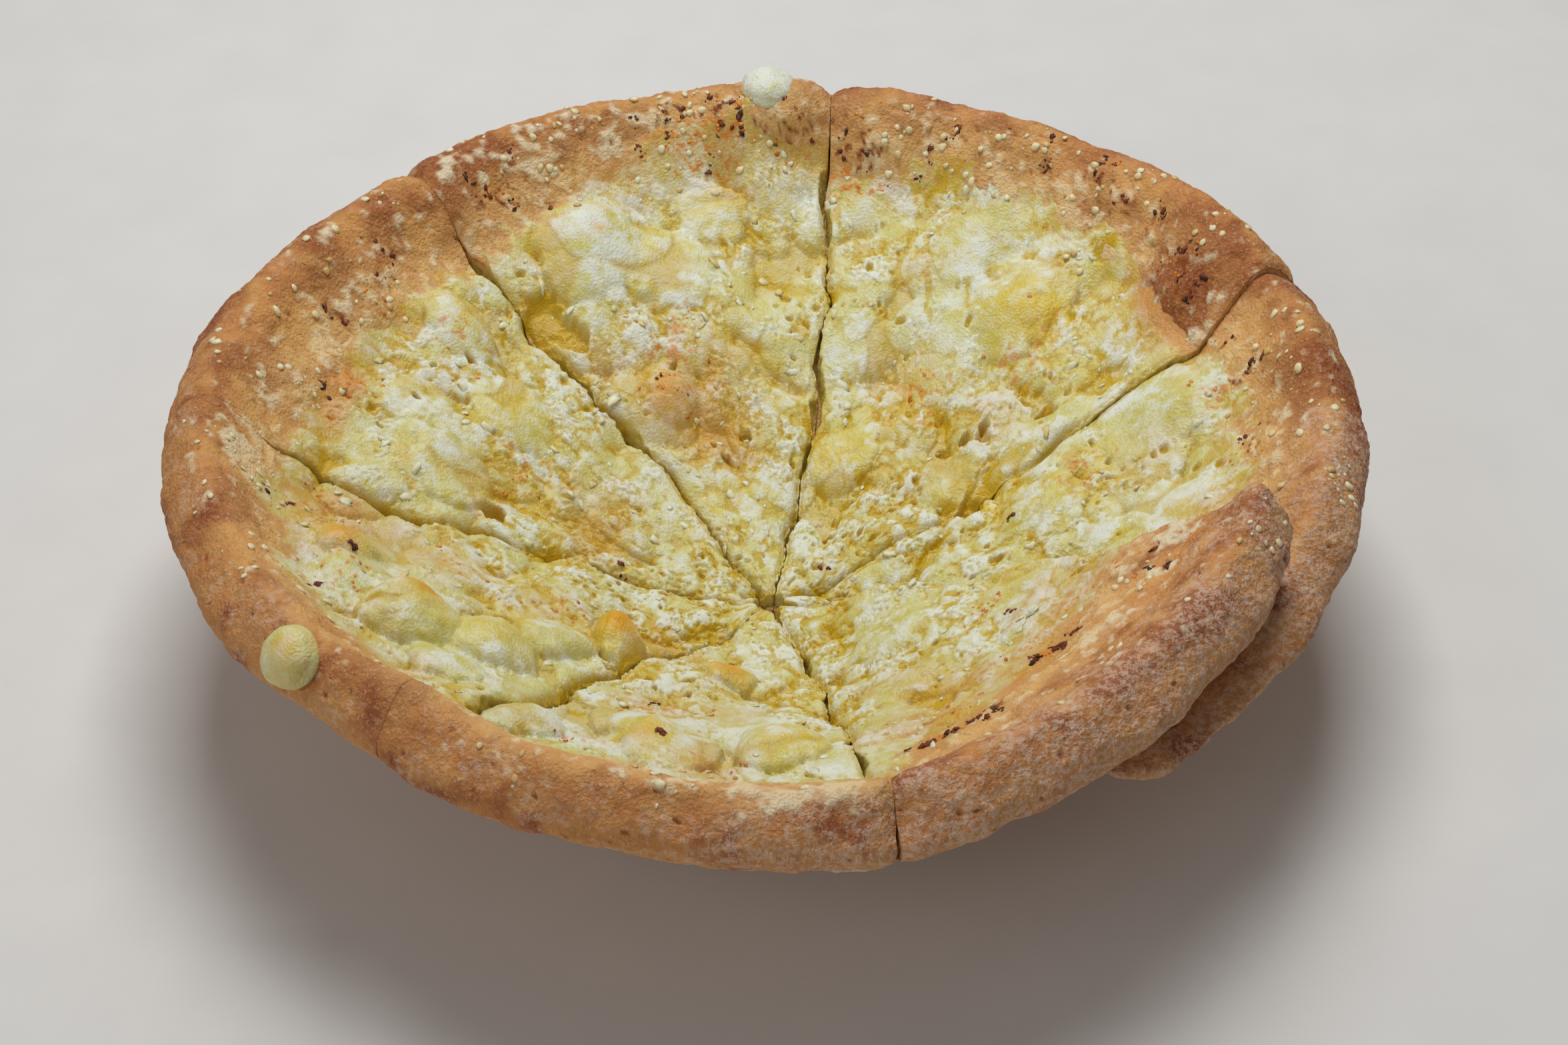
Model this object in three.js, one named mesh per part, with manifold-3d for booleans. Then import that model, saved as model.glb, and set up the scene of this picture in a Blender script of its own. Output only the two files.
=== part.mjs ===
// A round cheese focaccia, baked soft enough to sag into a shallow cone and cut right through
// into seven slices that still keep its shape. Each slice is a wedge of bread with a raised
// crust and, set into it, a layer of melted cheese that shows at the cuts. The slice at the front
// right rides up over its neighbour. Millimetres, +Z up; angles are in degrees, counterclockwise
// from +X as seen from above.
import * as THREE from "three";
import { mergeVertices } from "three/addons/utils/BufferGeometryUtils.js";
import Module from "manifold-3d";

// The whole loaf
const RADIUS = 130;
const CONE_SLOPE = 0.5;
const CONE_HINGE = 18;
const CONE_ROUNDING = 20;
const FLAT_RADIUS = 22;
const LIFT_END = 90;
const CRUMB_HEIGHT = 4.5;
const UNDERSIDE_DENT = 0.6;

// The crust round its edge
const CREST_RADIUS = 119;
const CREST_RISE = 11;
const CREST_WIDTH = 10;
const CREST_UNEVEN = 0.14;
const EDGE_ROUNDING = 11;
const EDGE_LEVEL = 0.45;
const EDGE_UNEVEN = 0.7;
const EDGE_UNEVEN_POWER = 8;

// The cheese layer
const CHEESE_THICK = 2.8;
const CHEESE_EDGE = 1.1;
const CHEESE_LUMP = 0.8;
const CHEESE_WAVER = 2.2;
const CHEESE_THINS_FROM = 0.6;
const LUMPS_FADE = 14;

// Gaps: between neighbouring slices, between cheese and bread, and between a blob and its crust
const CUT_SHIFT = 1.2;
const LAYER_GAP = 0.35;
const BLOB_GAP = 0.4;

// Spacing of the uneven relief
const LUMP_SPACING = 13;
const CRUST_SPACING = 24;
const DENT_SPACING = 30;
const SEED = { cheeseEnd: 3, edge: 5, crest: 7, lumps: 11, dents: 13, grains: 41 };

// Slices, counterclockwise from the back right. Pairs give the value at a slice's first and
// second cut: where the cut meets the edge, how far it bends towards the tip, how much the slice
// is lifted, how far it reaches as a share of the radius, and where its cheese ends. The tip is
// torn off at a distance from the middle.
const SLICES = [
  {
    name: "slice_1", tip: 2, cut: [23, 84], bend: [-3, -9],
    lift: [3, 1], reach: [1.015, 1.01], cheese: [104, 103],
  },
  {
    name: "slice_2", tip: 2, cut: [84, 135], bend: [-9, -9],
    lift: [1, 3], reach: [1.01, 0.985], cheese: [103, 102],
  },
  {
    name: "slice_3", tip: 3, cut: [135, 181], bend: [-9, 0],
    lift: [1.5, 2.5], reach: [0.985, 1.015], cheese: [102, 104],
  },
  {
    name: "slice_4", tip: 3, cut: [181, 233], bend: [0, 0],
    lift: [0.5, 3], reach: [1.015, 0.98], cheese: [104, 105],
  },
  {
    name: "slice_5", tip: 8, cut: [233, 281], bend: [0, 4],
    lift: [-1, -1], reach: [0.98, 1.01], cheese: [105, 103],
  },
  {
    name: "slice_6", tip: 2, cut: [281, 334.5], bend: [4, 0],
    lift: [-1, 4], reach: [1, 0.92], cheese: [103, 98],
  },
  {
    name: "slice_7", tip: 2, cut: [-52, 23], bend: [26.5, -3],
    lift: [-6, 1], reach: [0.95, 1.015], cheese: [102, 104],
  },
];

// Slice 6 rides up on slice 7 towards its second cut, and slice 7 is pressed thin under it
const RIDER = "slice_6";
const RIDE_HEIGHT = 10;
const RIDE_FROM = 4;
const RIDE_FULL = 26;
const CARRIER = "slice_7";
const PRESSED_SHARE = 0.5;
const PRESSED_ACROSS = [0.05, 0.6];
const PRESSED_SMOOTH = 0.75;

// Puffs baked into the loaf: angle, distance from the middle, half width and height
const PUFFS = [
  [48, 86, 13, 3.5], [70, 81, 10, 3], [54, 37, 10, 2.5], [60, 97, 10, 2], [30, 109, 8, 3.5],
  [118, 91, 13, 5], [103, 73, 14, 3], [93, 109, 11, 3], [117, 56, 7, 2.5], [92, 62, 9, 2.5],
  [143, 91, 10, 3.5], [154, 70, 12, 3.5], [168, 81, 9, 2.5], [166, 100, 7, 2.5],
  [212, 88, 8.5, 5], [218, 73, 9, 3.5], [220, 42, 6, 4], [198, 94, 7, 3.5],
  [251, 77, 8, 3.5], [271, 76, 8.5, 3.5], [252, 42, 6, 3], [236, 90, 7, 2.5],
  [310, 45, 10, 2], [9, 63, 11, 3], [15, 96, 10, 2.5],
];

// Blobs of cheese that baked on the crust: the slice, the place on it, and the size
const BLOBS = [
  { name: "cheese_bubble_back", slice: "slice_2", share: 0.905, across: 0.15, width: 12.5, height: 10 },
  { name: "cheese_bubble_left", slice: "slice_4", share: 0.972, across: 0.77, width: 13.5, height: 10 },
];
const BLOB_SUNK = 0.3;

// Grains of hard cheese baked onto each slice's crust
const GRAINS_PER_SLICE = 7;
const GRAIN_SIZE = [1.1, 1.9];
const GRAIN_SHARE = [0.845, 0.95];
const GRAIN_ACROSS = [0.1, 0.9];
const GRAIN_ACROSS_PRESSED = [0.5, 0.9];
const GRAIN_CLEAR_OF_BLOB = 12;
const GRAIN_STRETCH = 0.3;
const GRAIN_FLATTEN = 0.8;
const GRAIN_STANDS = 0.15;

// Facets
const COLUMNS = 12;
const CHEESE_ROWS = 10;
const CRUST_ROWS = 3;
const EDGE_ROWS = 5;
const LEDGE = 0.012;
const BLOB_FACETS = [16, 10];
const NORMAL_STEP = 0.004;
const MERGE_WITHIN = 1e-3;

const { degToRad, lerp, smoothstep } = THREE.MathUtils;

// A repeatable draw between 0 and 1 for a pair of whole numbers
function draw(column, row, seed) {
  let bits = Math.imul(column, 374761393) + Math.imul(row, 668265263) + Math.imul(seed, 2147483647);
  bits = Math.imul(bits ^ (bits >>> 13), 1274126177);
  bits ^= bits >>> 16;
  return (bits >>> 0) / 4294967296;
}

// Smooth relief between -1 and 1: draws on a square lattice, eased between its corners
function relief(x, y, spacing, seed) {
  const column = Math.floor(x / spacing);
  const row = Math.floor(y / spacing);
  const easeX = smoothstep(x / spacing - column, 0, 1);
  const easeY = smoothstep(y / spacing - row, 0, 1);
  const near = lerp(draw(column, row, seed), draw(column + 1, row, seed), easeX);
  const far = lerp(draw(column, row + 1, seed), draw(column + 1, row + 1, seed), easeX);
  return lerp(near, far, easeY) * 2 - 1;
}

// Height of the sagging base line: flat in the middle, then bending up into a cone
function sag(distance) {
  const past = distance - CONE_HINGE;
  return CONE_SLOPE * 0.5 * (Math.hypot(past, CONE_ROUNDING) + past);
}

// Height of the underside, which rests flat on a disc in the middle
function underside(distance) {
  return Math.max(0, sag(distance) - sag(FLAT_RADIUS));
}

// Summed height of the puffs at a place in plan
function puffed(x, y) {
  let height = 0;
  for (const [angle, distance, halfWidth, rise] of PUFFS) {
    const dx = x - distance * Math.cos(degToRad(angle));
    const dy = y - distance * Math.sin(degToRad(angle));
    height += rise * Math.exp(-(dx * dx + dy * dy) / (halfWidth * halfWidth));
  }
  return height;
}

// Angle of a slice's first (0) or second (1) cut at a share of the radius
function cutAngle(slice, side, share) {
  return slice.cut[side] + slice.bend[side] * (1 - share);
}

// Place in plan, before the slices are drawn apart
function planPlace(slice, share, across) {
  const angle = degToRad(lerp(cutAngle(slice, 0, share), cutAngle(slice, 1, share), across));
  const edge = RADIUS * lerp(slice.reach[0], slice.reach[1], across);
  const distance = share * edge + EDGE_UNEVEN * share ** EDGE_UNEVEN_POWER * relief(
    RADIUS * Math.cos(angle), RADIUS * Math.sin(angle), CRUST_SPACING, SEED.edge);
  return { x: distance * Math.cos(angle), y: distance * Math.sin(angle) };
}

// Share of the radius at which a slice's cheese ends
function cheeseEnd(slice, across) {
  const angle = degToRad(lerp(slice.cut[0], slice.cut[1], across));
  const distance = lerp(slice.cheese[0], slice.cheese[1], across);
  const waver = CHEESE_WAVER * relief(
    distance * Math.cos(angle), distance * Math.sin(angle), LUMP_SPACING, SEED.cheeseEnd);
  return (distance + waver) / RADIUS;
}

// Share of its thickness that a slice keeps where its neighbour lies on it
function pressedShare(slice, share, across) {
  if (slice.name !== CARRIER) return 1;
  const beside = smoothstep(across, PRESSED_ACROSS[0], PRESSED_ACROSS[1]);
  const outward = smoothstep(share * RADIUS, RIDE_FROM, RIDE_FULL / 2);
  return lerp(1, lerp(PRESSED_SHARE, 1, beside), outward);
}

// How far a slice is raised: by its own lift, and by the neighbour that it rides on
function raised(slice, distance, across) {
  const lift = lerp(slice.lift[0], slice.lift[1], across);
  const own = lift * smoothstep(distance, FLAT_RADIUS, LIFT_END);
  if (slice.name !== RIDER) return own;
  return own + RIDE_HEIGHT * across * smoothstep(distance, RIDE_FROM, RIDE_FULL);
}

// Heights of a slice's whole body, bread and cheese together, at a place on it
function bodyHeights(slice, share, across) {
  const { x, y } = planPlace(slice, share, across);
  const distance = share * RADIUS;
  const pressed = pressedShare(slice, share, across);
  const uneven = 1 + CREST_UNEVEN * relief(x, y, CRUST_SPACING, SEED.crest);
  const crest = CREST_RISE * uneven * Math.exp(-(((distance - CREST_RADIUS) / CREST_WIDTH) ** 2));
  const open = smoothstep(pressed, PRESSED_SMOOTH, 1);
  const inner = 1 - smoothstep(distance, CREST_RADIUS - LUMPS_FADE, CREST_RADIUS);
  const lumps = CHEESE_LUMP * inner * relief(x, y, LUMP_SPACING, SEED.lumps);
  const dent = UNDERSIDE_DENT * smoothstep(distance, FLAT_RADIUS, LIFT_END)
    * relief(x, y, DENT_SPACING, SEED.dents);
  const low = underside(distance);
  const thick = (sag(distance) + CRUMB_HEIGHT - low + crest) * pressed;
  const top = low + thick + (lumps + puffed(x, y)) * open;
  const bottom = low + dent;
  const level = lerp(bottom, top, EDGE_LEVEL);
  const past = Math.min(1, Math.max(0, (distance - RADIUS + EDGE_ROUNDING) / EDGE_ROUNDING));
  const rounding = Math.sqrt(Math.max(0, 1 - past * past));
  const lift = raised(slice, distance, across);
  return {
    top: lerp(level, top, rounding) + lift,
    bottom: lerp(level, bottom, rounding) + lift,
  };
}

// Thickness of the cheese: `part` runs from 0 at the tip to 1 where the cheese ends
function cheeseDepth(part) {
  return lerp(CHEESE_THICK, CHEESE_EDGE, smoothstep(part, CHEESE_THINS_FROM, 1));
}

// A point of a slice at a height, drawn outwards so that the cuts stand open
function slicePoint(slice, share, across, height) {
  const { x, y } = planPlace(slice, share, across);
  const outward = degToRad((slice.cut[0] + slice.cut[1]) / 2);
  return new THREE.Vector3(
    x + CUT_SHIFT * Math.cos(outward), y + CUT_SHIFT * Math.sin(outward), height);
}

// A closed solid between two sheets of points with the same rows and columns
function solidBetween(upper, lower) {
  const rows = upper.length;
  const columns = upper[0].length;
  const points = [...upper.flat(), ...lower.flat()];
  const top = (row, column) => row * columns + column;
  const low = (row, column) => (rows + row) * columns + column;
  const triangles = [];
  const quad = (a, b, c, d) => triangles.push([a, b, c], [a, c, d]);
  for (let row = 0; row + 1 < rows; row += 1) {
    for (let column = 0; column + 1 < columns; column += 1) {
      quad(top(row, column), top(row + 1, column), top(row + 1, column + 1), top(row, column + 1));
      quad(low(row, column), low(row, column + 1), low(row + 1, column + 1), low(row + 1, column));
    }
    quad(low(row, 0), low(row + 1, 0), top(row + 1, 0), top(row, 0));
    const last = columns - 1;
    quad(low(row, last), top(row, last), top(row + 1, last), low(row + 1, last));
  }
  for (let column = 0; column + 1 < columns; column += 1) {
    const last = rows - 1;
    quad(low(last, column), low(last, column + 1), top(last, column + 1), top(last, column));
    quad(low(0, column), top(0, column), top(0, column + 1), low(0, column + 1));
  }
  const loose = new THREE.BufferGeometry().setFromPoints(points);
  loose.setIndex(triangles.flat());
  const merged = mergeVertices(loose, MERGE_WITHIN);
  const index = merged.getIndex().array;
  const kept = [];
  for (let corner = 0; corner < index.length; corner += 3) {
    const [a, b, c] = index.slice(corner, corner + 3);
    if (a !== b && b !== c && a !== c) kept.push(a, b, c);
  }
  merged.setIndex(kept);
  return merged;
}

// Shares of the radius along a slice, from tip to edge: cheese, then a ledge, crust and rounding
function breadRows(slice, across) {
  const end = cheeseEnd(slice, across);
  const round = 1 - EDGE_ROUNDING / RADIUS;
  const rows = [];
  for (let row = 0; row <= CHEESE_ROWS; row += 1) {
    const part = row / CHEESE_ROWS;
    rows.push({ share: lerp(slice.tip / RADIUS, end, part), depth: cheeseDepth(part) + LAYER_GAP });
  }
  for (let row = 0; row < CRUST_ROWS; row += 1) {
    rows.push({ share: lerp(end + LEDGE, round, row / CRUST_ROWS), depth: 0 });
  }
  for (let row = 0; row <= EDGE_ROWS; row += 1) {
    const turn = (row / EDGE_ROWS) * (Math.PI / 2);
    rows.push({ share: round + (1 - round) * Math.sin(turn), depth: 0 });
  }
  return rows;
}

// Turns rows of columns into the two sheets that `solidBetween` closes
function sheets(rowsAcross, place) {
  const columns = Array.from({ length: COLUMNS + 1 }, (_, column) => column / COLUMNS);
  const stations = columns.map((across) => rowsAcross(across));
  const sheet = (side) => stations[0].map((_, row) =>
    columns.map((across, column) => place(stations[column][row], across, side)));
  return solidBetween(sheet("top"), sheet("bottom"));
}

function breadGeometry(slice) {
  return sheets((across) => breadRows(slice, across), ({ share, depth }, across, side) => {
    const body = bodyHeights(slice, share, across);
    const height = side === "top" ? body.top - depth : body.bottom;
    return slicePoint(slice, share, across, height);
  });
}

function cheeseGeometry(slice) {
  const rows = (across) => Array.from({ length: CHEESE_ROWS + 1 }, (_, row) => {
    const part = row / CHEESE_ROWS;
    const end = cheeseEnd(slice, across) - LAYER_GAP / RADIUS;
    return { share: lerp(slice.tip / RADIUS, end, part), depth: cheeseDepth(part) };
  });
  return sheets(rows, ({ share, depth }, across, side) => {
    const { top } = bodyHeights(slice, share, across);
    return slicePoint(slice, share, across, side === "top" ? top : top - depth);
  });
}

// Outward direction of the crust at a place on a slice, from two short steps along it
function crustNormal(slice, share, across) {
  const at = (s, a) => slicePoint(slice, s, a, bodyHeights(slice, s, a).top);
  const along = at(share + NORMAL_STEP, across).sub(at(share - NORMAL_STEP, across));
  const side = at(share, across + NORMAL_STEP).sub(at(share, across - NORMAL_STEP));
  return along.cross(side).normalize();
}

// Booleans: geometry to solid and back
const wasm = await Module();
wasm.setup();

function solidOf(geometry) {
  const bare = geometry.clone();
  bare.deleteAttribute("normal");
  bare.deleteAttribute("uv");
  const merged = mergeVertices(bare, MERGE_WITHIN);
  return new wasm.Manifold(new wasm.Mesh({
    numProp: 3,
    vertProperties: new Float32Array(merged.getAttribute("position").array),
    triVerts: new Uint32Array(merged.getIndex().array),
  }));
}

function geometryOf(solid) {
  const mesh = solid.getMesh();
  const geometry = new THREE.BufferGeometry();
  geometry.setAttribute("position", new THREE.BufferAttribute(mesh.vertProperties, 3));
  geometry.setIndex(new THREE.BufferAttribute(mesh.triVerts, 1));
  return geometry;
}

// Place of a blob's foot on its crust
function blobFoot(blob) {
  const slice = SLICES.find(({ name }) => name === blob.slice);
  const { top } = bodyHeights(slice, blob.share, blob.across);
  return slicePoint(slice, blob.share, blob.across, top);
}

// A flattened ball half sunk in the crust, with the crust and a thin gap taken out of it
function blobGeometry(blob, bread) {
  const slice = SLICES.find(({ name }) => name === blob.slice);
  const normal = crustNormal(slice, blob.share, blob.across);
  const ball = new THREE.SphereGeometry(0.5, ...BLOB_FACETS);
  ball.rotateX(Math.PI / 2);
  ball.scale(blob.width, blob.width, blob.height);
  ball.applyQuaternion(new THREE.Quaternion().setFromUnitVectors(new THREE.Vector3(0, 0, 1), normal));
  const centre = blobFoot(blob).addScaledVector(normal, blob.height * (0.5 - BLOB_SUNK));
  ball.translate(centre.x, centre.y, centre.z);
  const grown = bread.translate(normal.clone().multiplyScalar(BLOB_GAP).toArray());
  return geometryOf(solidOf(ball).subtract(grown));
}

// Grains on a slice's crust: places and sizes come from a seeded draw, evenly spread along it
function withGrains(slice, bread, number) {
  const [start, end] = slice.name === CARRIER ? GRAIN_ACROSS_PRESSED : GRAIN_ACROSS;
  let joined = bread;
  for (let grain = 0; grain < GRAINS_PER_SLICE; grain += 1) {
    const chance = (use) => draw(number * 64 + grain, use, SEED.grains);
    const across = lerp(start, end, (grain + chance(1)) / GRAINS_PER_SLICE);
    const share = lerp(GRAIN_SHARE[0], GRAIN_SHARE[1], chance(2));
    const size = lerp(GRAIN_SIZE[0], GRAIN_SIZE[1], chance(3));
    const place = slicePoint(slice, share, across, bodyHeights(slice, share, across).top);
    if (BLOBS.some((blob) => blobFoot(blob).distanceTo(place) < GRAIN_CLEAR_OF_BLOB)) continue;
    const ball = new THREE.IcosahedronGeometry(size);
    ball.rotateZ(chance(4) * Math.PI);
    ball.scale(1 + GRAIN_STRETCH * chance(5), 1, GRAIN_FLATTEN);
    ball.translate(place.x, place.y, place.z + GRAIN_STANDS * size);
    joined = joined.add(solidOf(ball));
  }
  return joined;
}

const CRUST = { color: 0xc9935a, roughness: 0.8, metalness: 0 };
const CHEESE = { color: 0xe9d79a, roughness: 0.55, metalness: 0 };

function namedMesh(name, geometry, finish) {
  geometry.computeVertexNormals();
  const mesh = new THREE.Mesh(geometry, new THREE.MeshStandardMaterial(finish));
  mesh.name = name;
  return mesh;
}

function focaccia() {
  const loaf = new THREE.Group();
  SLICES.forEach((slice, number) => {
    const bare = solidOf(breadGeometry(slice));
    const bread = withGrains(slice, bare, number);
    loaf.add(namedMesh(`${slice.name}_bread`, geometryOf(bread), CRUST));
    loaf.add(namedMesh(`${slice.name}_cheese`, cheeseGeometry(slice), CHEESE));
    for (const blob of BLOBS.filter((each) => each.slice === slice.name)) {
      loaf.add(namedMesh(blob.name, blobGeometry(blob, bare), CHEESE));
    }
  });
  return loaf;
}

// The origin is under the middle of the loaf's plan, level with the disc that it rests on
const loaf = focaccia();
const middle = new THREE.Box3().setFromObject(loaf).getCenter(new THREE.Vector3());
loaf.position.set(-middle.x, -middle.y, 0);

export default loaf;
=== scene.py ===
"""A round cheese focaccia, cut into seven slices that still keep its shape, dressed for its picture.

Each slice is a wedge of bread with a raised crust and a layer of melted, bubbled cheese. Two blobs of
cheese sit on the crust, with grains of hard cheese and dark flakes scattered round it. Sizes are in
millimetres about the loaf's axis, and angles in degrees counterclockwise from +X seen from above.
"""
import itertools
import logging
import math
from collections.abc import Iterator
from dataclasses import dataclass, field
from enum import Enum, IntEnum

import bpy
import numpy as np
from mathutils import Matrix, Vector


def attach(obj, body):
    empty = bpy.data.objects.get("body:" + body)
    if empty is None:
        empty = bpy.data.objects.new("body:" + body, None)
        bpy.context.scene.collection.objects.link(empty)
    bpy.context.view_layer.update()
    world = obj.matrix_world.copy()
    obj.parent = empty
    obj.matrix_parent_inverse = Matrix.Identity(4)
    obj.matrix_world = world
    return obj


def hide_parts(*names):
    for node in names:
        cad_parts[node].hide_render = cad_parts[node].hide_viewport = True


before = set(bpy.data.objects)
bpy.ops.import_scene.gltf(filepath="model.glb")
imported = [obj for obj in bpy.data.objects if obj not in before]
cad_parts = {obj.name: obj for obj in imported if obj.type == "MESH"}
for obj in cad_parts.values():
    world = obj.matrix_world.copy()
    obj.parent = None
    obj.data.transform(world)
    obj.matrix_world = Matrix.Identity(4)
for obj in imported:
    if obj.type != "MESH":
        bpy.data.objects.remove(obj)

LOG = logging.getLogger("focaccia")
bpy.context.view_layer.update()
BODY = "root"
MM = 0.001

# Radius of the whole loaf, and the shift that puts the middle of its plan on the frame's origin
RADIUS = 130.0
LOAF_SHIFT = (1.1336, -0.2019)

Array = np.ndarray
Pair = tuple[float, float]
Triple = tuple[float, float, float]
Colour = tuple[int, int, int]


class Seed(IntEnum):
    """Seeds of the repeatable draws, one for each use."""

    CHEESE_END = 3
    EDGE = 5
    CREST = 7
    LUMPS = 11
    DENTS = 13
    GRAINS = 41
    REGION = 51
    BILLOW = 53
    CURD = 57
    PIT = 61
    TEAR = 67
    TOOTH = 71
    WHITE = 73
    TOAST = 79
    FILM = 83
    BROWN = 97
    RUMPLE = 101
    SMEAR = 103
    FLOUR = 107
    CRUMB = 109
    SCATTER = 113
    FLAKE = 127
    RUST = 137
    BUBBLE = 131
    SHOULDER = 400
    WANDER = 900


class Role(Enum):
    """How a slice lies: by itself, up on its neighbour, or pressed under it."""

    PLAIN = "plain"
    RIDER = "rider"
    CARRIER = "carrier"


class Slot(Enum):
    """Material slots."""

    CRUST = "crust"
    CHEESE = "cheese"


def ramp(value: Array, start: float | Array, end: float | Array) -> Array:
    """Eases from 0 at `start` to 1 at `end`, flat at both ends.

    Args:
        value: What is measured.
        start: Where the ramp leaves 0.
        end: Where it reaches 1; it may lie below `start`.

    Returns:
        The eased share, 3t^2 - 2t^3 of the way t between the two.
    """
    part = np.clip((value - start) / (end - start), 0.0, 1.0)
    return part * part * (3.0 - 2.0 * part)


def lerp(first: float | Array, second: float | Array, part: float | Array) -> Array:
    """Gives the value a share `part` of the way from `first` to `second`."""
    return first + (second - first) * part


def bell(value: Array, half_width: float) -> Array:
    """Gives exp(-(value / half width)^2), which is 1 at 0 and falls off to both sides."""
    return np.exp(-((value / half_width) ** 2))


def draw(column: Array, row: Array, seed: int, layer: Array | int = 0) -> Array:
    """Gives a repeatable draw between 0 and 1 for whole numbers.

    The numbers, each times a large odd one, are added up in 32 bits and mixed by shifts.

    Args:
        column: First whole number.
        row: Second whole number.
        seed: Seed of this use.
        layer: Third whole number.

    Returns:
        The draws, with the inputs' common shape.
    """
    words = [np.asarray(each).astype(np.int64).astype(np.uint32) for each in (column, row, layer)]
    start = np.uint32((int(seed) * 2147483647) % 2**32)
    bits = words[0] * np.uint32(374761393) + words[1] * np.uint32(668265263) + start
    bits = bits + words[2] * np.uint32(2246822519)
    bits = (bits ^ (bits >> np.uint32(13))) * np.uint32(1274126177)
    bits = bits ^ (bits >> np.uint32(16))
    return bits.astype(np.float64) / 2.0**32


def relief(x: Array, y: Array, spacing: float, seed: int) -> Array:
    """Gives smooth relief between -1 and 1: draws on a square lattice, eased between its corners.

    Args:
        x: Place along X.
        y: Place along Y.
        spacing: Size of the lattice.
        seed: Seed of the draws.

    Returns:
        The relief at each place.
    """
    column = np.floor(x / spacing)
    row = np.floor(y / spacing)
    ease_x = ramp(x / spacing - column, 0.0, 1.0)
    ease_y = ramp(y / spacing - row, 0.0, 1.0)
    near = lerp(draw(column, row, seed), draw(column + 1, row, seed), ease_x)
    far = lerp(draw(column, row + 1, seed), draw(column + 1, row + 1, seed), ease_x)
    return lerp(near, far, ease_y) * 2.0 - 1.0


SLANTS = np.array(
    [(1, 1, 0), (-1, 1, 0), (1, -1, 0), (-1, -1, 0), (1, 0, 1), (-1, 0, 1), (1, 0, -1), (-1, 0, -1),
     (0, 1, 1), (0, -1, 1), (0, 1, -1), (0, -1, -1), (1, 1, 0), (-1, 1, 0), (0, -1, 1), (0, -1, -1)],
    float)


def swell(points: Array, spacing: float, seed: int) -> Array:
    """Gives soft swelling relief in space, about -1 to 1.

    Each corner of a cubic lattice has a drawn slant, and the heights of the eight slants round a
    point are mixed by the fifth-power ease of its place between them.

    Args:
        points: Places, with x, y, z in the last axis.
        spacing: Size of the lattice.
        seed: Seed of the draws.

    Returns:
        The relief at each place.
    """
    place = points / spacing
    corner = np.floor(place)
    local = place - corner
    ease = local**3 * (local * (local * 6.0 - 15.0) + 10.0)
    total = np.zeros(points.shape[:-1])
    for step in itertools.product((0, 1), repeat=3):
        cell = corner + step
        pick = (draw(cell[..., 0], cell[..., 1], seed, cell[..., 2]) * len(SLANTS)).astype(int)
        weight = np.prod(np.where(step, ease, 1.0 - ease), axis=-1)
        total += weight * np.einsum("...k,...k->...", SLANTS[pick], local - step)
    return total * 1.25


def swells(points: Array, seed: int, *parts: Pair) -> Array:
    """Adds up swells, each given by its height and its spacing, with seeds that count up from the first."""
    return sum(part[0] * swell(points, part[1], seed + number) for number, part in enumerate(parts))


def nine_squares(x: Array, y: Array, spacing: float, seed: int) -> Iterator[tuple[Array, Array]]:
    """Goes through the nine squares of a lattice round each place, with one drawn point in each.

    Args:
        x: First coordinate on the surface.
        y: Second coordinate.
        spacing: Size of the squares.
        seed: Seed of the draws.

    Yields:
        The distance to the square's point, in squares, and a draw that belongs to that point.
    """
    column = np.floor(x / spacing)
    row = np.floor(y / spacing)
    for step_x, step_y in itertools.product((-1, 0, 1), repeat=2):
        place_x = column + step_x
        place_y = row + step_y
        away = np.hypot(place_x + draw(place_x, place_y, seed) - x / spacing,
                        place_y + draw(place_x, place_y, seed, 1) - y / spacing)
        yield away, draw(place_x, place_y, seed, 2)


def cells(x: Array, y: Array, spacing: float, seed: int) -> tuple[Array, Array]:
    """Finds the nearest of one drawn point in each square of a lattice.

    Args:
        x: First coordinate on the surface.
        y: Second coordinate.
        spacing: Size of the squares.
        seed: Seed of the draws.

    Returns:
        The distance to the nearest point, in squares, and a draw that belongs to that point.
    """
    nearest = np.full(np.broadcast(x, y).shape, np.inf)
    chance = np.zeros_like(nearest)
    for away, drawn in nine_squares(x, y, spacing, seed):
        chance = np.where(away < nearest, drawn, chance)
        nearest = np.minimum(nearest, away)
    return nearest, chance


# Least and greatest radius of a foam's bubbles, in squares of its lattice
BUBBLE_RADII = (0.45, 0.98)


def bubbles(x: Array, y: Array, spacing: float, seed: int) -> Array:
    """Gives a foam of round bubbles that run into each other in soft creases.

    Each square of a lattice has a drawn middle and radius, and the heights of the nine nearest
    half balls are joined by the fifth root of the sum of their fifth powers.

    Args:
        x: First coordinate on the surface.
        y: Second coordinate.
        spacing: Size of the squares.
        seed: Seed of the draws.

    Returns:
        The height over the balls' middles, less its mean.
    """
    total = np.zeros(np.broadcast(x, y).shape)
    for away, drawn in nine_squares(x, y, spacing, seed):
        total += np.clip(lerp(*BUBBLE_RADII, drawn) ** 2 - away**2, 0.0, None) ** 2.5
    height = total**0.2
    return (height - height.mean()) * spacing


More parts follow.
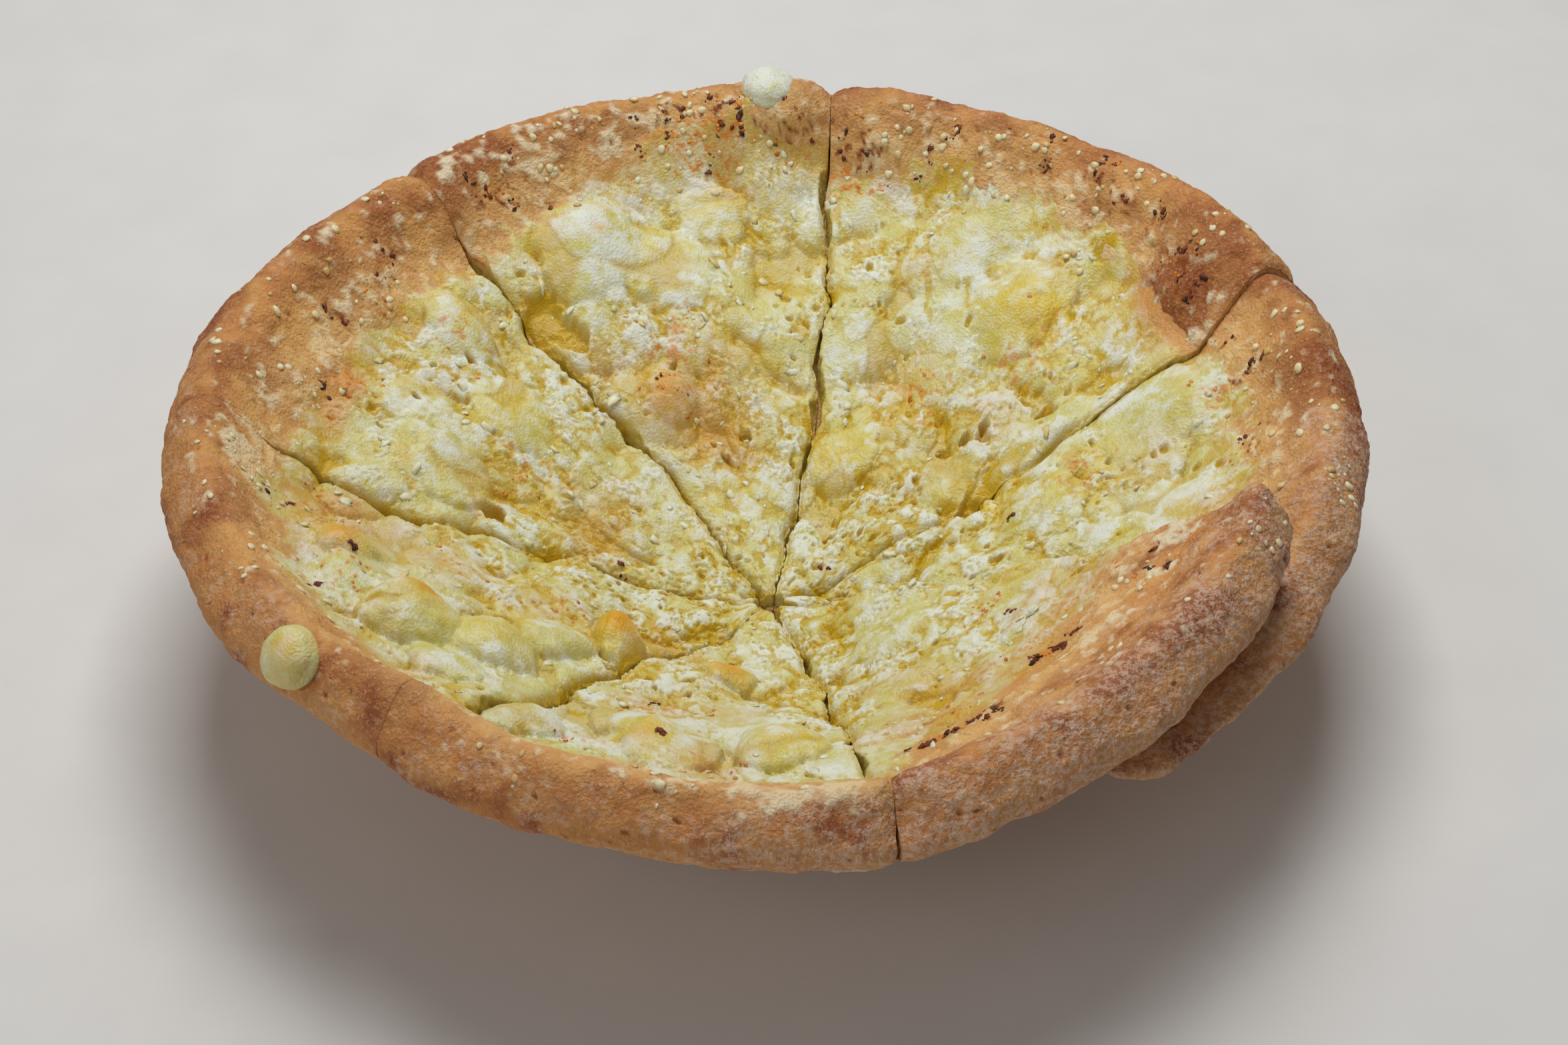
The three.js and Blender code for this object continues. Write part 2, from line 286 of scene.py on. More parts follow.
@dataclass(frozen=True)
class Spot:
    """A round feature baked into the loaf, placed from above, with its half width and strength."""

    angle: float
    distance: float
    half_width: float
    strength: float = 1.0

    def away(self, x: Array, y: Array) -> Array:
        """Gives how far places lie from the spot's middle.

        Args:
            x: Place along X.
            y: Place along Y.

        Returns:
            The distances, in half widths.
        """
        turn = math.radians(self.angle)
        away = np.hypot(x - self.distance * math.cos(turn), y - self.distance * math.sin(turn))
        return away / self.half_width

    def fall_off(self, x: Array, y: Array) -> Array:
        """Gives strength * exp(-(distance from the middle / half width)^2)."""
        return self.strength * bell(self.away(x, y), 1.0)

    def cap(self, x: Array, y: Array) -> Array:
        """Gives strength * sqrt(1 - (distance from the middle / half width)^2), a steep-sided dome."""
        return self.strength * np.sqrt(np.clip(1.0 - self.away(x, y) ** 2, 0.0, None))


def spots(*rows: tuple[float, ...]) -> tuple[Spot, ...]:
    """Makes a spot of each row of an angle, a distance, a half width and a strength."""
    return tuple(Spot(*row) for row in rows)


def spotted(given: tuple[Spot, ...], x: Array, y: Array) -> Array:
    """Adds up the shares of several spots at each place."""
    return sum((spot.fall_off(x, y) for spot in given), np.zeros(np.broadcast(x, y).shape))


@dataclass(frozen=True)
class SlicePlan:
    """One slice. Pairs give the value at its first and second cut."""

    name: str
    tip: float
    cut: Pair
    bend: Pair
    lift: Pair
    reach: Pair
    cheese: Pair
    bare: Pair
    shoulder: Pair
    settle: Pair = (0.0, 0.0)
    streaks: float = 0.15
    crack: Pair = (1.0, 1.0)
    seam: Pair = (1.0, 1.0)
    tear: Pair = (1.0, 1.0)
    role: Role = Role.PLAIN

    def width(self) -> float:
        """Gives the angle between the two cuts, in radians."""
        return math.radians(self.cut[1] - self.cut[0])

    def holds(self, angle: float) -> bool:
        """Tells whether an angle lies between the slice's two cuts."""
        return (angle - self.cut[0]) % 360.0 < self.cut[1] - self.cut[0]

    def own(self, given: tuple[Spot, ...]) -> tuple[Spot, ...]:
        """Picks the spots whose middles lie on the slice."""
        return tuple(spot for spot in given if self.holds(spot.angle))

    def from_cut(self, side: int, distance: Array, across: Array) -> Array:
        """Gives how far places lie from one cut, measured along the arc.

        Args:
            side: 0 for the first cut and 1 for the second.
            distance: Distance from the middle.
            across: Share of the way from the first cut to the second.

        Returns:
            The arcs, 0 past the cut.
        """
        part = 1.0 - across if side else across
        return np.maximum(part * (self.width() * distance), 0.0)

    def inward(self, side: int) -> Array:
        """Gives the level direction from a cut into the slice, as a unit vector."""
        angle = math.radians(self.cut[side]) + (0.5 - side) * math.pi
        return np.array([math.cos(angle), math.sin(angle), 0.0])

    def cut_angle(self, side: int, share: Array) -> Array:
        """Gives the angle of a cut, which wanders a little as it was torn on its way out.

        Args:
            side: 0 for the first cut and 1 for the second.
            share: Share of the radius.

        Returns:
            The angle in degrees; neighbours share the same wandering.
        """
        distance = RADIUS * np.asarray(share, float)
        seed = Seed.WANDER + int(self.cut[side]) % 360
        aside = 2.6 * relief(distance, 0.0 * distance, 21.0, seed)
        aside = aside + 1.3 * relief(distance, 0.0 * distance, 7.0, seed + 1)
        aside = aside * ramp(distance, 4.0, 22.0) * (1.0 - 0.75 * ramp(distance, 98.0, 112.0))
        turn = np.degrees(aside / np.maximum(distance, 4.0))
        return self.cut[side] + self.bend[side] * (1.0 - share) + turn

    def outward(self) -> float:
        """Gives the angle, in radians, along which the slice is drawn out of the loaf."""
        return math.radians((self.cut[0] + self.cut[1]) / 2)


SLICES = (
    SlicePlan("slice_1", 2, (23, 84), (-3, -9), (3, 1), (1.015, 1.01), (104, 103), (103, 110), (3.6, 2.6),
              crack=(0.8, 0.5), seam=(2.0, 3.0), tear=(0.3, 0.8)),
    SlicePlan("slice_2", 2, (84, 135), (-9, -9), (1, 3), (1.01, 0.985), (103, 102), (115, 102), (2.6, 5.5),
              (0.0, -0.5), crack=(0.5, 0.9), seam=(3.0, 3.4), tear=(0.8, 1.1)),
    SlicePlan("slice_3", 3, (135, 181), (-9, 0), (1.5, 2.5), (0.985, 1.015), (102, 104), (102, 106),
              (2.2, 6.5), (0.6, -1.0), crack=(0.9, 0.2), seam=(2.6, 1.2), tear=(1.1, 0.6)),
    SlicePlan("slice_4", 3, (181, 233), (0, 0), (0.5, 3), (1.015, 0.98), (104, 105), (106, 111.5),
              (2.0, 7.0), (1.0, -2.2), crack=(0.2, 0.0), seam=(1.2, 0.6), tear=(0.6, 0.9)),
    SlicePlan("slice_5", 3, (233, 281), (0, 4), (-1, -1), (0.98, 1.01), (105, 103), (111.5, 114.5),
              (1.5, 2.6), (1.8, 0.0), 0.45, (0.0, 0.35), (0.6, 3.6), (0.9, 0.8)),
    SlicePlan("slice_6", 2, (281, 334.5), (4, 0), (-1, 4), (1.01, 0.92), (103, 98), (97, 89), (2.6, 1.2),
              streaks=0.8, crack=(0.35, 1.0), seam=(3.6, 0.0), tear=(0.8, 1.0),
              role=Role.RIDER),
    SlicePlan("slice_7", 2, (-57, 23), (31.5, -3), (-6, 1), (0.95, 1.015), (102, 104), (103, 106),
              (0.4, 1.2), crack=(1.0, 0.8), seam=(0.0, 1.6), tear=(1.0, 0.3), role=Role.CARRIER),
)

PUFFS = spots(
    (48, 86, 13, 3.5), (70, 81, 10, 3), (54, 37, 10, 2.5), (60, 97, 10, 2), (30, 109, 8, 3.5),
    (118, 91, 13, 5), (103, 73, 14, 3), (93, 109, 11, 3), (117, 56, 7, 2.5), (92, 62, 9, 2.5),
    (143, 91, 10, 3.5), (154, 70, 12, 3.5), (168, 81, 9, 2.5), (166, 100, 7, 2.5), (212, 88, 8.5, 5),
    (218, 73, 9, 3.5), (220, 42, 6, 4), (198, 94, 7, 3.5), (251, 77, 8, 3.5), (271, 76, 8.5, 3.5),
    (252, 42, 6, 3), (236, 90, 7, 2.5), (310, 45, 10, 2), (9, 63, 11, 3), (15, 96, 10, 2.5),
    (134.5, 103.5, 4.5, -3.6), (131.5, 83, 5.5, -2.4),
)

# Where the cuts stand open, by how much on each side
GAPES = spots((135, 103, 4.5, 1.5), (281, 131, 4, 0.4), (181, 97, 4, 0.7), (84, 110, 4, 0.3))


@dataclass(frozen=True)
class Body:
    """Heights of a slice's whole body, and how free its top is to swell."""

    x: Array
    y: Array
    top: Array
    bottom: Array
    free: Array


@dataclass(frozen=True)
class Loaf:
    """The form of the whole loaf: a sagging disc of bread with a raised crust, cut into slices."""

    radius: float = RADIUS
    cone_slope: float = 0.5
    cone_hinge: float = 18.0
    cone_rounding: float = 20.0
    flat_radius: float = 22.0
    lift_end: float = 90.0
    crumb_height: float = 4.5
    underside_dent: float = 0.6
    crest_radius: float = 119.0
    crest_rise: float = 11.0
    crest_width: float = 10.0
    crest_uneven: float = 0.14
    edge_rounding: float = 11.0
    edge_level: float = 0.45
    edge_uneven: float = 0.7
    edge_uneven_power: int = 8
    bed_depth: float = 5.0
    bed_least: float = 0.9
    cheese_lump: float = 0.8
    cheese_waver: float = 2.2
    lumps_fade: float = 14.0
    cut_shift: float = 1.2
    lump_spacing: float = 13.0
    crust_spacing: float = 24.0
    dent_spacing: float = 30.0
    ride_height: float = 10.0
    ride_from: float = 4.0
    ride_full: float = 26.0
    pressed_share: float = 0.5
    pressed_across: Pair = (0.05, 0.6)
    pressed_smooth: float = 0.75
    end_rounding: float = 9.0
    end_corner: float = 13.0
    settle_from: float = 98.0
    settle_to: float = 114.0
    clearance: float = 0.05
    bank: float = 4.6
    bank_at: float = 100.0
    bank_width: float = 11.0
    shoulder_width: float = 5.5
    shoulder_fade: Pair = (94.0, 107.0)
    shoulder_most: float = 0.5
    seam_width: float = 8.0
    seam_recess: float = 0.6

    def shoulder(self, plan: SlicePlan, distance: Array, across: Array, thick: Array) -> Array:
        """Gives how far the top is rounded down beside the cuts, as the cheese ran into them.

        Each side falls as a quarter ellipse whose width and depth waver along the cut.

        Args:
            plan: The slice.
            distance: Distance from the middle.
            across: Share across.
            thick: Thickness of the whole body.

        Returns:
            The fall of the top, in millimetres.
        """
        arc = plan.width() * distance
        line = np.stack([distance, 0.0 * distance, 0.0 * distance], axis=-1)
        fall = np.zeros_like(distance)
        for side in (0, 1):
            seed = Seed.SHOULDER + int(plan.cut[side])
            waver = 1.0 + 0.55 * swell(line, 13.0, seed) + 0.3 * swell(line, 5.0, seed + 1)
            wide = self.shoulder_width * waver
            narrow = np.minimum(wide, 0.42 * arc)
            deep = np.clip(0.62 + 1.1 * swell(line, 15.0, seed + 2), 0.1, 1.5)
            deep = plan.shoulder[side] * deep * narrow / wide
            from_cut = plan.from_cut(side, distance, across)
            part = np.clip(1.0 - from_cut / narrow, 0.0, 1.0)
            fall = np.maximum(fall, deep * (1.0 - np.sqrt(1.0 - part**2)))
        return np.minimum(fall, self.shoulder_most * thick) * (1.0 - ramp(distance, *self.shoulder_fade))

    def seam(self, plan: SlicePlan, distance: Array, across: Array) -> Array:
        """Gives how far the crust is rounded off at the cuts: a quarter ellipse down to each of them.

        Args:
            plan: The slice.
            distance: Distance from the middle.
            across: Share across.

        Returns:
            The fall of the crust, in millimetres.
        """
        fall = np.zeros(np.broadcast(distance, across).shape)
        for side in (0, 1):
            part = np.clip(1.0 - plan.from_cut(side, distance, across) / self.seam_width, 0.0, 0.98)
            fall = fall + plan.seam[side] * (1.0 - np.sqrt(1.0 - part**2))
        return fall * ramp(distance, *self.shoulder_fade)

    def spare(self, plan: SlicePlan, side: int, distance: Array) -> Array:
        """Gives how far past a cut a slice may swell before it meets its neighbour.

        Args:
            plan: The slice.
            side: 0 for the first cut and 1 for the second.
            distance: Distance from the middle.

        Returns:
            The room, as a share of the slice's width there; none where one slice lies on another,
            and less than none where the cut stands open.
        """
        overlapped = {Role.RIDER: 1, Role.CARRIER: 0}.get(plan.role)
        if side == overlapped:
            return np.zeros_like(distance)
        half = plan.width() / 2
        room = self.cut_shift * math.sin(half) - self.clearance
        for spot in GAPES:
            if spot.angle == plan.cut[side]:
                room = room - spot.strength * bell(distance - spot.distance, spot.half_width)
        return room / (2.0 * half * distance)

    def sag(self, distance: Array) -> Array:
        """Gives the base line: flat in the middle, then bending into a cone as a hyperbola does."""
        past = distance - self.cone_hinge
        return self.cone_slope * 0.5 * (np.hypot(past, self.cone_rounding) + past)

    def plan_place(self, plan: SlicePlan, share: Array, across: Array) -> tuple[Array, Array]:
        """Places a point of a slice in plan, before the slices are drawn apart.

        Args:
            plan: The slice.
            share: Share of the radius, from the middle out.
            across: Share of the way from the first cut to the second.

        Returns:
            The places along X and Y.
        """
        angle = np.radians(lerp(plan.cut_angle(0, share), plan.cut_angle(1, share), across))
        edge = self.radius * lerp(*plan.reach, across)
        edge = edge - self.seam_recess * self.seam(plan, np.full(np.shape(edge), self.radius), across)
        if plan.role is Role.CARRIER:
            from_cut = across * plan.width() * self.radius
            part = np.clip(1.0 - from_cut / self.end_corner, 0.0, 1.0)
            edge = edge - self.end_corner * (1.0 - np.sqrt(1.0 - part * part))
        uneven = relief(self.radius * np.cos(angle), self.radius * np.sin(angle),
                        self.crust_spacing, Seed.EDGE)
        distance = share * edge + self.edge_uneven * share**self.edge_uneven_power * uneven
        return distance * np.cos(angle), distance * np.sin(angle)

    def cheese_end(self, plan: SlicePlan, across: Array) -> Array:
        """Gives how far from the middle a slice's cheese ends, by its pair and a wavering relief.

        Args:
            plan: The slice.
            across: Share across.

        Returns:
            The distance.
        """
        angle = np.radians(lerp(*plan.cut, across))
        distance = lerp(*plan.cheese, across)
        waver = relief(distance * np.cos(angle), distance * np.sin(angle), self.lump_spacing, Seed.CHEESE_END)
        return distance + self.cheese_waver * waver

    def bed(self, plan: SlicePlan, body: Body, distance: Array, across: Array) -> Array:
        """Gives the height of the bread: well below the top under the cheese, and up to it past that.

        Args:
            plan: The slice.
            body: The whole body's heights.
            distance: Distance from the middle.
            across: Share across.

        Returns:
            The height of the bread's upper side.
        """
        bare = lerp(*plan.bare, across)
        under = self.bed_depth * (1.0 - ramp(distance, bare - 6.0, bare + 1.0))
        return np.maximum(body.top - under, np.minimum(body.bottom + self.bed_least, body.top))

    def pressed(self, plan: SlicePlan, share: Array, across: Array) -> Array:
        """Gives the share of its thickness that a slice keeps where its neighbour lies on it.

        Args:
            plan: The slice.
            share: Share of the radius.
            across: Share across.

        Returns:
            The share, 1 where nothing lies on it.
        """
        if plan.role is not Role.CARRIER:
            return np.ones(np.broadcast(share, across).shape)
        beside = ramp(across, *self.pressed_across)
        outward = ramp(share * self.radius, self.ride_from, self.ride_full / 2)
        return lerp(1.0, lerp(self.pressed_share, 1.0, beside), outward)

    def raised(self, plan: SlicePlan, distance: Array, across: Array) -> Array:
        """Gives how far a slice is raised, by its own lift and by the neighbour it rides on.

        Args:
            plan: The slice.
            distance: Distance from the middle.
            across: Share across.

        Returns:
            The rise, in millimetres.
        """
        lift = lerp(*plan.lift, across)
        own = lift * ramp(distance, self.flat_radius, self.lift_end)
        settle = lerp(*plan.settle, across)
        own = own + settle * ramp(distance, self.settle_from, self.settle_to)
        if plan.role is not Role.RIDER:
            return own
        ridden = self.ride_height * np.maximum(across, 0.0)
        return own + ridden * ramp(distance, self.ride_from, self.ride_full)

    def body(self, plan: SlicePlan, share: Array, across: Array) -> Body:
        """Works out a slice's heights: sag, bell-shaped crest, lumps and puffs, rounded at the edge.

        Args:
            plan: The slice.
            share: Share of the radius, from the middle out.
            across: Share of the way from the first cut to the second.

        Returns:
            The body's place in plan and its heights there.
        """
        share, across = np.broadcast_arrays(np.asarray(share, float), np.asarray(across, float))
        x, y = self.plan_place(plan, share, across)
        distance = share * self.radius
        pressed = self.pressed(plan, share, across)
        uneven = 1.0 + self.crest_uneven * relief(x, y, self.crust_spacing, Seed.CREST)
        crest = self.crest_rise * uneven * bell(distance - self.crest_radius, self.crest_width)
        free = ramp(pressed, self.pressed_smooth, 1.0)
        inner = 1.0 - ramp(distance, self.crest_radius - self.lumps_fade, self.crest_radius)
        lumps = self.cheese_lump * inner * relief(x, y, self.lump_spacing, Seed.LUMPS)
        dent = self.underside_dent * ramp(distance, self.flat_radius, self.lift_end)
        dent = dent * relief(x, y, self.dent_spacing, Seed.DENTS)
        low = np.maximum(0.0, self.sag(distance) - self.sag(np.array(self.flat_radius)))
        thick = (self.sag(distance) + self.crumb_height - low + crest) * pressed
        top = low + thick + (lumps + spotted(PUFFS, x, y)) * free
        top = top - self.shoulder(plan, distance, across, thick) - self.seam(plan, distance, across)
        if plan.role is Role.RIDER:
            bank = self.bank * bell(distance - self.bank_at, self.bank_width)
            top = top + bank * ramp(across, 0.0, 0.4)
        bottom = low + dent
        level = lerp(bottom, top, self.edge_level)
        past = np.clip((distance - self.radius + self.edge_rounding) / self.edge_rounding, 0.0, 1.0)
        rounding = np.sqrt(1.0 - past * past)
        if plan.role is Role.CARRIER:
            from_cut = across * plan.width() * distance
            beyond = np.clip(1.0 - from_cut / self.end_rounding, 0.0, 0.97) * ramp(distance, 60.0, 90.0)
            rounding = rounding * np.sqrt(1.0 - beyond * beyond)
        lift = self.raised(plan, distance, across)
        return Body(x, y, lerp(level, top, rounding) + lift, lerp(level, bottom, rounding) + lift, free)

    def drawn_out(self, plan: SlicePlan, body: Body, height: Array) -> Array:
        """Gives points of a slice at a height, drawn outwards so that the cuts stand open.

        Args:
            plan: The slice.
            body: Its place in plan.
            height: The height of each point.

        Returns:
            The points.
        """
        x = body.x + self.cut_shift * math.cos(plan.outward())
        y = body.y + self.cut_shift * math.sin(plan.outward())
        return np.stack([x, y, height], axis=-1)

    def locate(self, plan: SlicePlan, angle: Array, distance: Array) -> tuple[Array, Array]:
        """Turns an angle and a distance from the middle into a slice's own shares.

        Args:
            plan: The slice.
            angle: Angle seen from above.
            distance: Distance from the middle.

        Returns:
            The share of the radius and the share across.
        """
        share = distance / self.radius
        for _ in range(3):
            start = plan.cut_angle(0, share)
            across = (angle - start) / (plan.cut_angle(1, share) - start)
            share = distance / (self.radius * lerp(*plan.reach, across))
        return share, across


def outward_normals(points: Array) -> Array:
    """Gives unit normals of a grid of points: the cross product of its slopes along rows and columns.

    Args:
        points: The grid.

    Returns:
        The normals, in the grid's shape.
    """
    normals = np.cross(np.gradient(points, axis=0), np.gradient(points, axis=1))
    length = np.linalg.norm(normals, axis=-1, keepdims=True)
    return normals / np.maximum(length, 1e-9)


def crust_bumps(points: Array) -> Array:
    """Gives the crust's lumps: swells 19 and 7 mm apart."""
    return swells(points, Seed.RUMPLE, (1.3, 19.0), (0.55, 7.0))


def unit_ball(rows: int, columns: int) -> Array:
    """Gives a ball of radius 1: polar angle along the rows and azimuth along the columns.

    Args:
        rows: Number of rows, from pole to pole.
        columns: Number of columns round the axis.

    Returns:
        The grid of points.
    """
    polar = np.linspace(0.0, np.pi, rows)[:, None]
    azimuth = (np.arange(columns) / columns * 2.0 * np.pi)[None, :]
    return np.stack([np.sin(polar) * np.cos(azimuth), np.sin(polar) * np.sin(azimuth),
                     np.cos(polar) + 0.0 * azimuth], axis=-1)


class Shell:
    """Gathers grids of points into one closed mesh of triangles.

    Rows run outwards and columns counterclockwise, so that a sheet's faces point up. Sheets share
    points by using the same indices.
    """

    def __init__(self) -> None:
        """Starts with no points."""
        self.points: list[Array] = []
        self.baked: list[Array] = []
        self.accent: list[Array] = []
        self.triangles: list[Array] = []
        self.count = 0

    def add(self, points: Array, baked: Array | None = None, accent: Array | None = None) -> Array:
        """Adds points with their masks.

        Args:
            points: Points in millimetres, of any grid shape.
            baked: Four masks for each point, all 0 if left out.
            accent: Four further masks, all 0 if left out.

        Returns:
            The points' indices, in the grid's shape.
        """
        shape = points.shape[:-1]
        number = int(np.prod(shape))
        self.points.append(points.reshape(-1, 3))
        for kept, given in ((self.baked, baked), (self.accent, accent)):
            kept.append(np.broadcast_to(0.0 if given is None else given, (*shape, 4)).reshape(-1, 4))
        index = np.arange(self.count, self.count + number).reshape(shape)
        self.count += number
        return index

    def keep(self, triangles: Array) -> None:
        """Keeps the triangles whose three corners differ."""
        a, b, c = triangles.T
        self.triangles.append(triangles[(a != b) & (b != c) & (c != a)])

    def sheet(self, index: Array) -> None:
        """Covers grids of indices with two triangles for each of their squares.

        Args:
            index: The indices, with rows and columns in the last two axes.
        """
        a, b = index[..., :-1, :-1], index[..., 1:, :-1]
        c, d = index[..., 1:, 1:], index[..., :-1, 1:]
        first = np.stack([a, b, c], axis=-1).reshape(-1, 3)
        second = np.stack([a, c, d], axis=-1).reshape(-1, 3)
        self.keep(np.concatenate([first, second]))

    def balls(self, points: Array, baked: Array) -> None:
        """Adds closed balls, whose rows run from pole to pole and whose columns wrap round.

        Args:
            points: Points of each ball, with its number in the first axis.
            baked: Their masks.
        """
        index = self.add(points, baked)
        index[:, 0, :] = index[:, 0, :1]
        index[:, -1, :] = index[:, -1, :1]
        self.sheet(np.concatenate([index, index[:, :, :1]], axis=2))

    def stitch(self, inner: Array, outer: Array) -> None:
        """Joins two rows of different lengths by a strip of triangles.

        Each stretch of one row goes to the point of the other that lies nearest its middle.

        Args:
            inner: Indices of the row that comes first.
            outer: Indices of the row that comes next.
        """
        middle_in = (np.arange(len(inner) - 1) + 0.5) / (len(inner) - 1)
        middle_out = (np.arange(len(outer) - 1) + 0.5) / (len(outer) - 1)
        apex_out = outer[np.searchsorted(middle_out, middle_in, side="left")]
        apex_in = inner[np.searchsorted(middle_in, middle_out, side="right")]
        self.keep(np.stack([inner[:-1], apex_out, inner[1:]], axis=-1))
        self.keep(np.stack([apex_in, outer[:-1], outer[1:]], axis=-1))

    def build(self, name: str, material: bpy.types.Material) -> bpy.types.Object:
        """Makes the mesh object, with its masks as point attributes.

        Args:
            name: Name of the piece.
            material: Its finish.

        Returns:
            The object, at the origin.
        """
        points = np.concatenate(self.points)
        points = (points + np.array([*LOAF_SHIFT, 0.0])) * MM
        triangles = np.concatenate(self.triangles)
        mesh = bpy.data.meshes.new(name)
        mesh.vertices.add(len(points))
        mesh.vertices.foreach_set("co", points.astype(np.float32).ravel())
        mesh.loops.add(triangles.size)
        mesh.loops.foreach_set("vertex_index", triangles.astype(np.int32).ravel())
        mesh.polygons.add(len(triangles))
        mesh.polygons.foreach_set("loop_start", np.arange(len(triangles), dtype=np.int32) * 3)
        mesh.polygons.foreach_set("use_smooth", np.ones(len(triangles), dtype=bool))
        for label, kept in (("baked", self.baked), ("accent", self.accent)):
            shares = np.clip(np.concatenate(kept), 0.0, 1.0).astype(np.float32)
            mesh.attributes.new(label, "FLOAT_COLOR", "POINT").data.foreach_set("color", shares.ravel())
        mesh.update(calc_edges=True)
        mesh.materials.append(material)
        piece = bpy.data.objects.new(name, mesh)
        bpy.context.scene.collection.objects.link(piece)
        LOG.info("%s: %d triangles", name, len(triangles))
        return piece


def masks(red: Array | float, green: Array | float = 0.0, blue: Array | float = 0.0,
          alpha: Array | float = 0.0) -> Array:
    """Packs four masks into the last axis of one array."""
    return np.stack(np.broadcast_arrays(red, green, blue, alpha), axis=-1)


class NodeSheet:
    """Adds and links shader nodes in one tree."""

    def __init__(self, tree: bpy.types.NodeTree) -> None:
        """Starts on a tree, with its old nodes removed."""
        self.tree = tree
        tree.nodes.clear()

    def add(self, kind: str, **settings: object) -> bpy.types.Node:
        """Adds a node and sets its properties.

        Args:
            kind: Type of the node.
            **settings: Its properties.

        Returns:
            The node.
        """
        node = self.tree.nodes.new(kind)
        for name, value in settings.items():
            setattr(node, name, value)
        return node

    def feed(self, socket: bpy.types.NodeSocket, value: object) -> None:
        """Links a socket to another, or sets its value.

        Args:
            socket: The socket.
            value: A value for it, or the socket that feeds it.
        """
        if isinstance(value, bpy.types.NodeSocket):
            self.tree.links.new(value, socket)
        else:
            socket.default_value = value

    def math(self, operation: str, *values: object) -> bpy.types.NodeSocket:
        """Adds a Math node, clamped to between 0 and 1.

        Args:
            operation: What it does.
            *values: Its values or sockets, in order.

        Returns:
            Its result.
        """
        node = self.add("ShaderNodeMath", operation=operation, use_clamp=True)
        for socket, value in zip(node.inputs, values):
            self.feed(socket, value)
        return node.outputs[0]

    def spread(self, value: object, low: float, high: float, start: float = 0.0,
               end: float = 1.0) -> bpy.types.NodeSocket:
        """Maps `low` to `high` smoothly onto `start` to `end`.

        Args:
            value: Value or socket to map.
            low: Where the range starts.
            high: Where it ends.
            start: Result at `low`.
            end: Result at `high`.

        Returns:
            The mapped value.
        """
        node = self.add("ShaderNodeMapRange", interpolation_type="SMOOTHSTEP")
        for socket, each in zip(node.inputs, (value, low, high, start, end)):
            self.feed(socket, each)
        return node.outputs[0]

    def mix(self, share: object, first: object, second: object) -> bpy.types.NodeSocket:
        """Mixes two colours.

        Args:
            share: Share of the second colour.
            first: First colour or socket.
            second: Second colour or socket.

        Returns:
            The mixed colour.
        """
        node = self.add("ShaderNodeMix", data_type="RGBA")
        self.feed(node.inputs["Factor"], share)
        self.feed(node.inputs[6], first)
        self.feed(node.inputs[7], second)
        return node.outputs[2]

    def noise(self, place: object, scale: object, detail: float) -> bpy.types.NodeSocket:
        """Adds a noise texture.

        Args:
            place: Coordinates that it reads.
            scale: Lumps for each metre.
            detail: Octaves of finer lumps.

        Returns:
            Its value, about 0.2 to 0.8.
        """
        node = self.add("ShaderNodeTexNoise")
        self.feed(node.inputs["Vector"], place)
        self.feed(node.inputs["Scale"], scale)
        node.inputs["Detail"].default_value = detail
        return node.outputs["Fac"]


def linear(colour: Colour) -> tuple[float, float, float, float]:
    """Turns a display colour of 0 to 255 into the linear colour that a shader takes."""
    parts = [value / 255.0 for value in colour]
    return (*[each / 12.92 if each <= 0.04045 else ((each + 0.055) / 1.055) ** 2.4 for each in parts], 1.0)


class SurfaceGroups:
    """Shader node groups that more than one finish uses."""

    def __init__(self) -> None:
        """Builds the groups once."""
        self.mottle = self.make_mottle()
        self.grain = self.make_grain()

    @staticmethod
    def start(name: str, inputs: tuple[str, ...],
              outputs: tuple[str, ...]) -> tuple[NodeSheet, bpy.types.Node, bpy.types.Node]:
        """Starts a group that reads coordinates and values and puts out values.

        Args:
            name: Name of the group.
            inputs: Names of its value inputs, after the coordinates.
            outputs: Names of its value outputs.

        Returns:
            The group's sheet, its input node and its output node.
        """
        tree = bpy.data.node_groups.new(name, "ShaderNodeTree")
        tree.interface.new_socket("Place", in_out="INPUT", socket_type="NodeSocketVector")
        for each in inputs:
            tree.interface.new_socket(each, in_out="INPUT", socket_type="NodeSocketFloat")
        for each in outputs:
            tree.interface.new_socket(each, in_out="OUTPUT", socket_type="NodeSocketFloat")
        sheet = NodeSheet(tree)
        return sheet, sheet.add("NodeGroupInput"), sheet.add("NodeGroupOutput")

    def make_mottle(self) -> bpy.types.NodeTree:
        """Makes soft patches: a broad noise broken up by a finer one, spread to 0 to 1.

        Returns:
            The group.
        """
        sheet, given, result = self.start("soft_mottle", ("Broad", "Fine"), ("Mask",))
        broad = sheet.noise(given.outputs["Place"], given.outputs["Broad"], 2.0)
        fine = sheet.noise(given.outputs["Place"], given.outputs["Fine"], 3.0)
        both = sheet.math("MULTIPLY_ADD", broad, 0.6, sheet.math("MULTIPLY", fine, 0.4))
        sheet.feed(result.inputs["Mask"], sheet.spread(both, 0.36, 0.64))
        return sheet.tree

    def make_grain(self) -> bpy.types.NodeTree:
        """Makes a fine grain: a height of small lumps, and a mask of its brightest specks.

        Returns:
            The group.
        """
        sheet, given, result = self.start("fine_grain", ("Scale",), ("Height", "Specks"))
        lumps = sheet.noise(given.outputs["Place"], given.outputs["Scale"], 4.0)
        sheet.feed(result.inputs["Height"], lumps)
        sheet.feed(result.inputs["Specks"], sheet.spread(lumps, 0.56, 0.7))
        return sheet.tree


